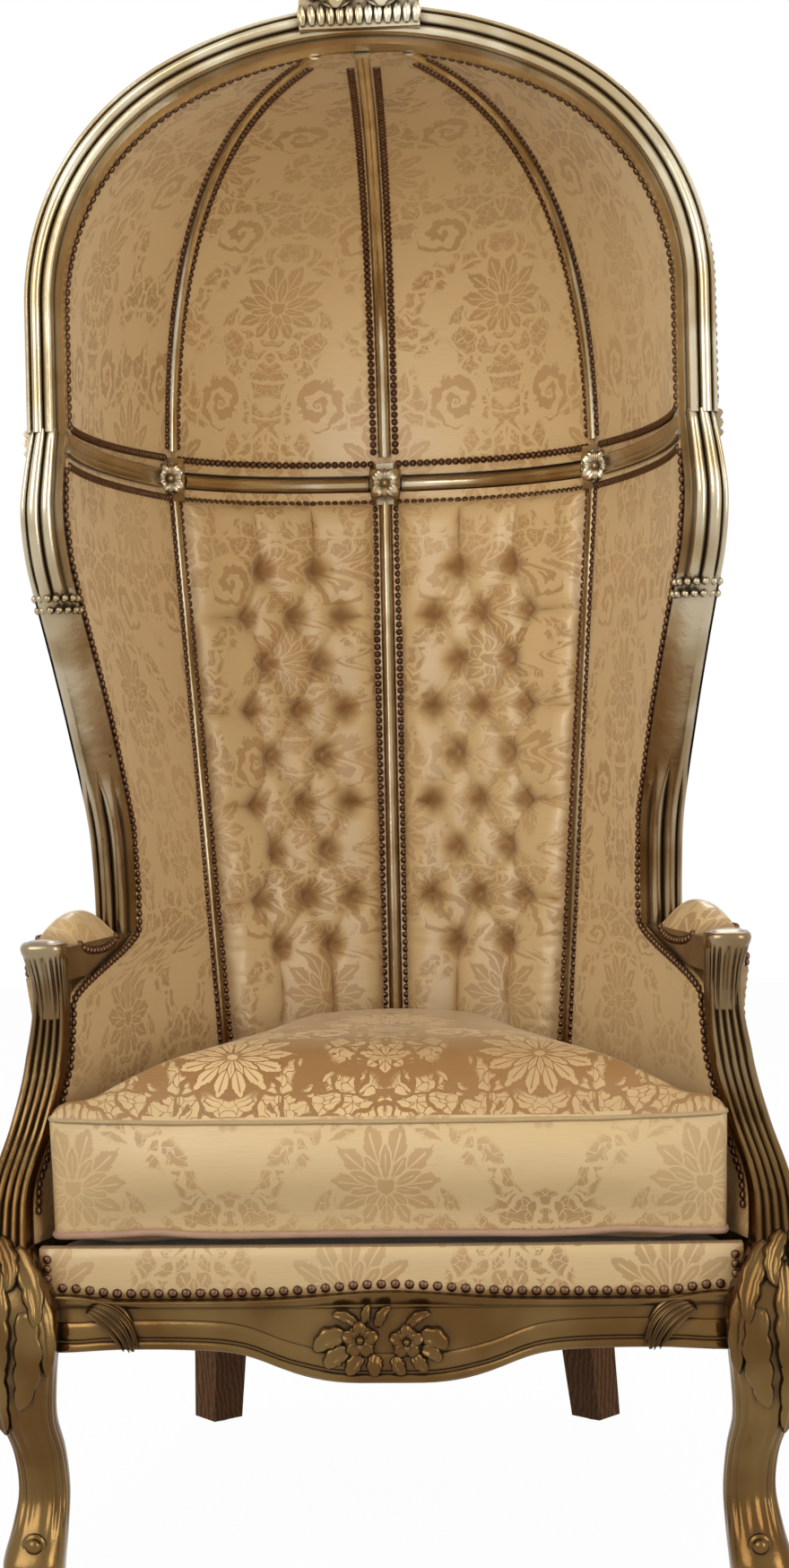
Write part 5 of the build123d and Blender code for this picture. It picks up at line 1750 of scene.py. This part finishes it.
def softbox(name, place, target, width, height, power):
    light = bpy.data.lights.new(name, "AREA")
    light.shape, light.size, light.size_y, light.energy = "RECTANGLE", width, height, power
    lamp = linked(name, light)
    lamp.location = place
    lamp.rotation_euler = (Vector(target) - Vector(place)).to_track_quat("-Z", "Y").to_euler()
    return lamp


softbox("key_softbox", place=(-1.9, -2.8, 2.5), target=(0, 0, 1.0), width=2.4, height=2.4, power=54)
front_box = softbox(
    "front_softbox", place=(0.25, -3.6, 1.10), target=(0, 0.1, 1.50), width=1.2, height=1.2, power=5.5
)
front_box.data.spread = math.radians(40)
front_box.visible_glossy = False
softbox("fill_softbox", place=(2.4, -2.2, 1.5), target=(0, 0, 0.9), width=1.2, height=1.8, power=30)
softbox("rim_softbox", place=(0.3, 2.6, 2.9), target=(0, 0, 1.0), width=2.0, height=1.0, power=30)


def studio_world():
    """White to the camera and in metal; lights from above and three tall windows, dim brown elsewhere."""
    world = bpy.data.worlds.new("studio")
    world.use_nodes = True
    n = Nodes("world_parts", world.node_tree)
    way = n.add("ShaderNodeSeparateXYZ", {0: n.add("ShaderNodeTexCoord").outputs["Generated"]})
    around = n.math("ARCTAN2", way.outputs[1], way.outputs[0])
    window = None
    for turn, low, high in studio_windows:
        facing = n.ramp(n.math("COSINE", n.minus(around, math.radians(turn))), low, high)
        window = facing if window is None else n.larger(window, facing)
    window = n.times(window, n.ramp(n.math("ABSOLUTE", way.outputs[2]), 0.62, 0.45))
    above = n.ramp(way.outputs[2], 0.35, 0.85)
    lit = n.larger(window, n.times(above, 0.55))
    tone = n.colour(lit, dim_brown, window_white)
    power = n.scaled(lit, 1.05, 0.35)
    seen = n.seen()
    backdrop = world.node_tree.nodes["Background"]
    n.put(backdrop.inputs[0], n.colour(seen, tone, (1, 1, 1)))
    n.put(backdrop.inputs[1], n.scaled(seen, n.inverted(power), power))
    bpy.context.scene.world = world


studio_world()

# The photograph's camera: place, focal length and principal point in its own pixels
photo_width, photo_height, focal_pixels, sensor_size = 880, 1748, 2962.0, 36.0
principal_x, principal_y, yaw, roll = 281.9, 801.7, math.radians(-4.31), math.radians(1.34)
camera_place = (0.0818, -3.150, 0.9174)
ahead, right = Vector((math.sin(yaw), math.cos(yaw), 0)), Vector((math.cos(yaw), -math.sin(yaw), 0))
camera_right = right * math.cos(roll) - up_way * math.sin(roll)
camera_up = right * math.sin(roll) + up_way * math.cos(roll)
lens = bpy.data.cameras.new("photo_camera")
lens.sensor_fit, lens.sensor_width, lens.sensor_height = "VERTICAL", sensor_size, sensor_size
lens.lens = sensor_size * focal_pixels / photo_height
lens.shift_x = (photo_width / 2 - principal_x) / photo_height
lens.shift_y = (principal_y - photo_height / 2) / photo_height
camera = linked("photo_camera", lens)
camera_turn = Matrix((camera_right, camera_up, -ahead)).transposed().to_4x4()
camera.matrix_world = Matrix.Translation(camera_place) @ camera_turn
bpy.context.scene.camera = camera
bpy.context.scene.view_settings.view_transform = "Standard"

bpy.context.view_layer.update()
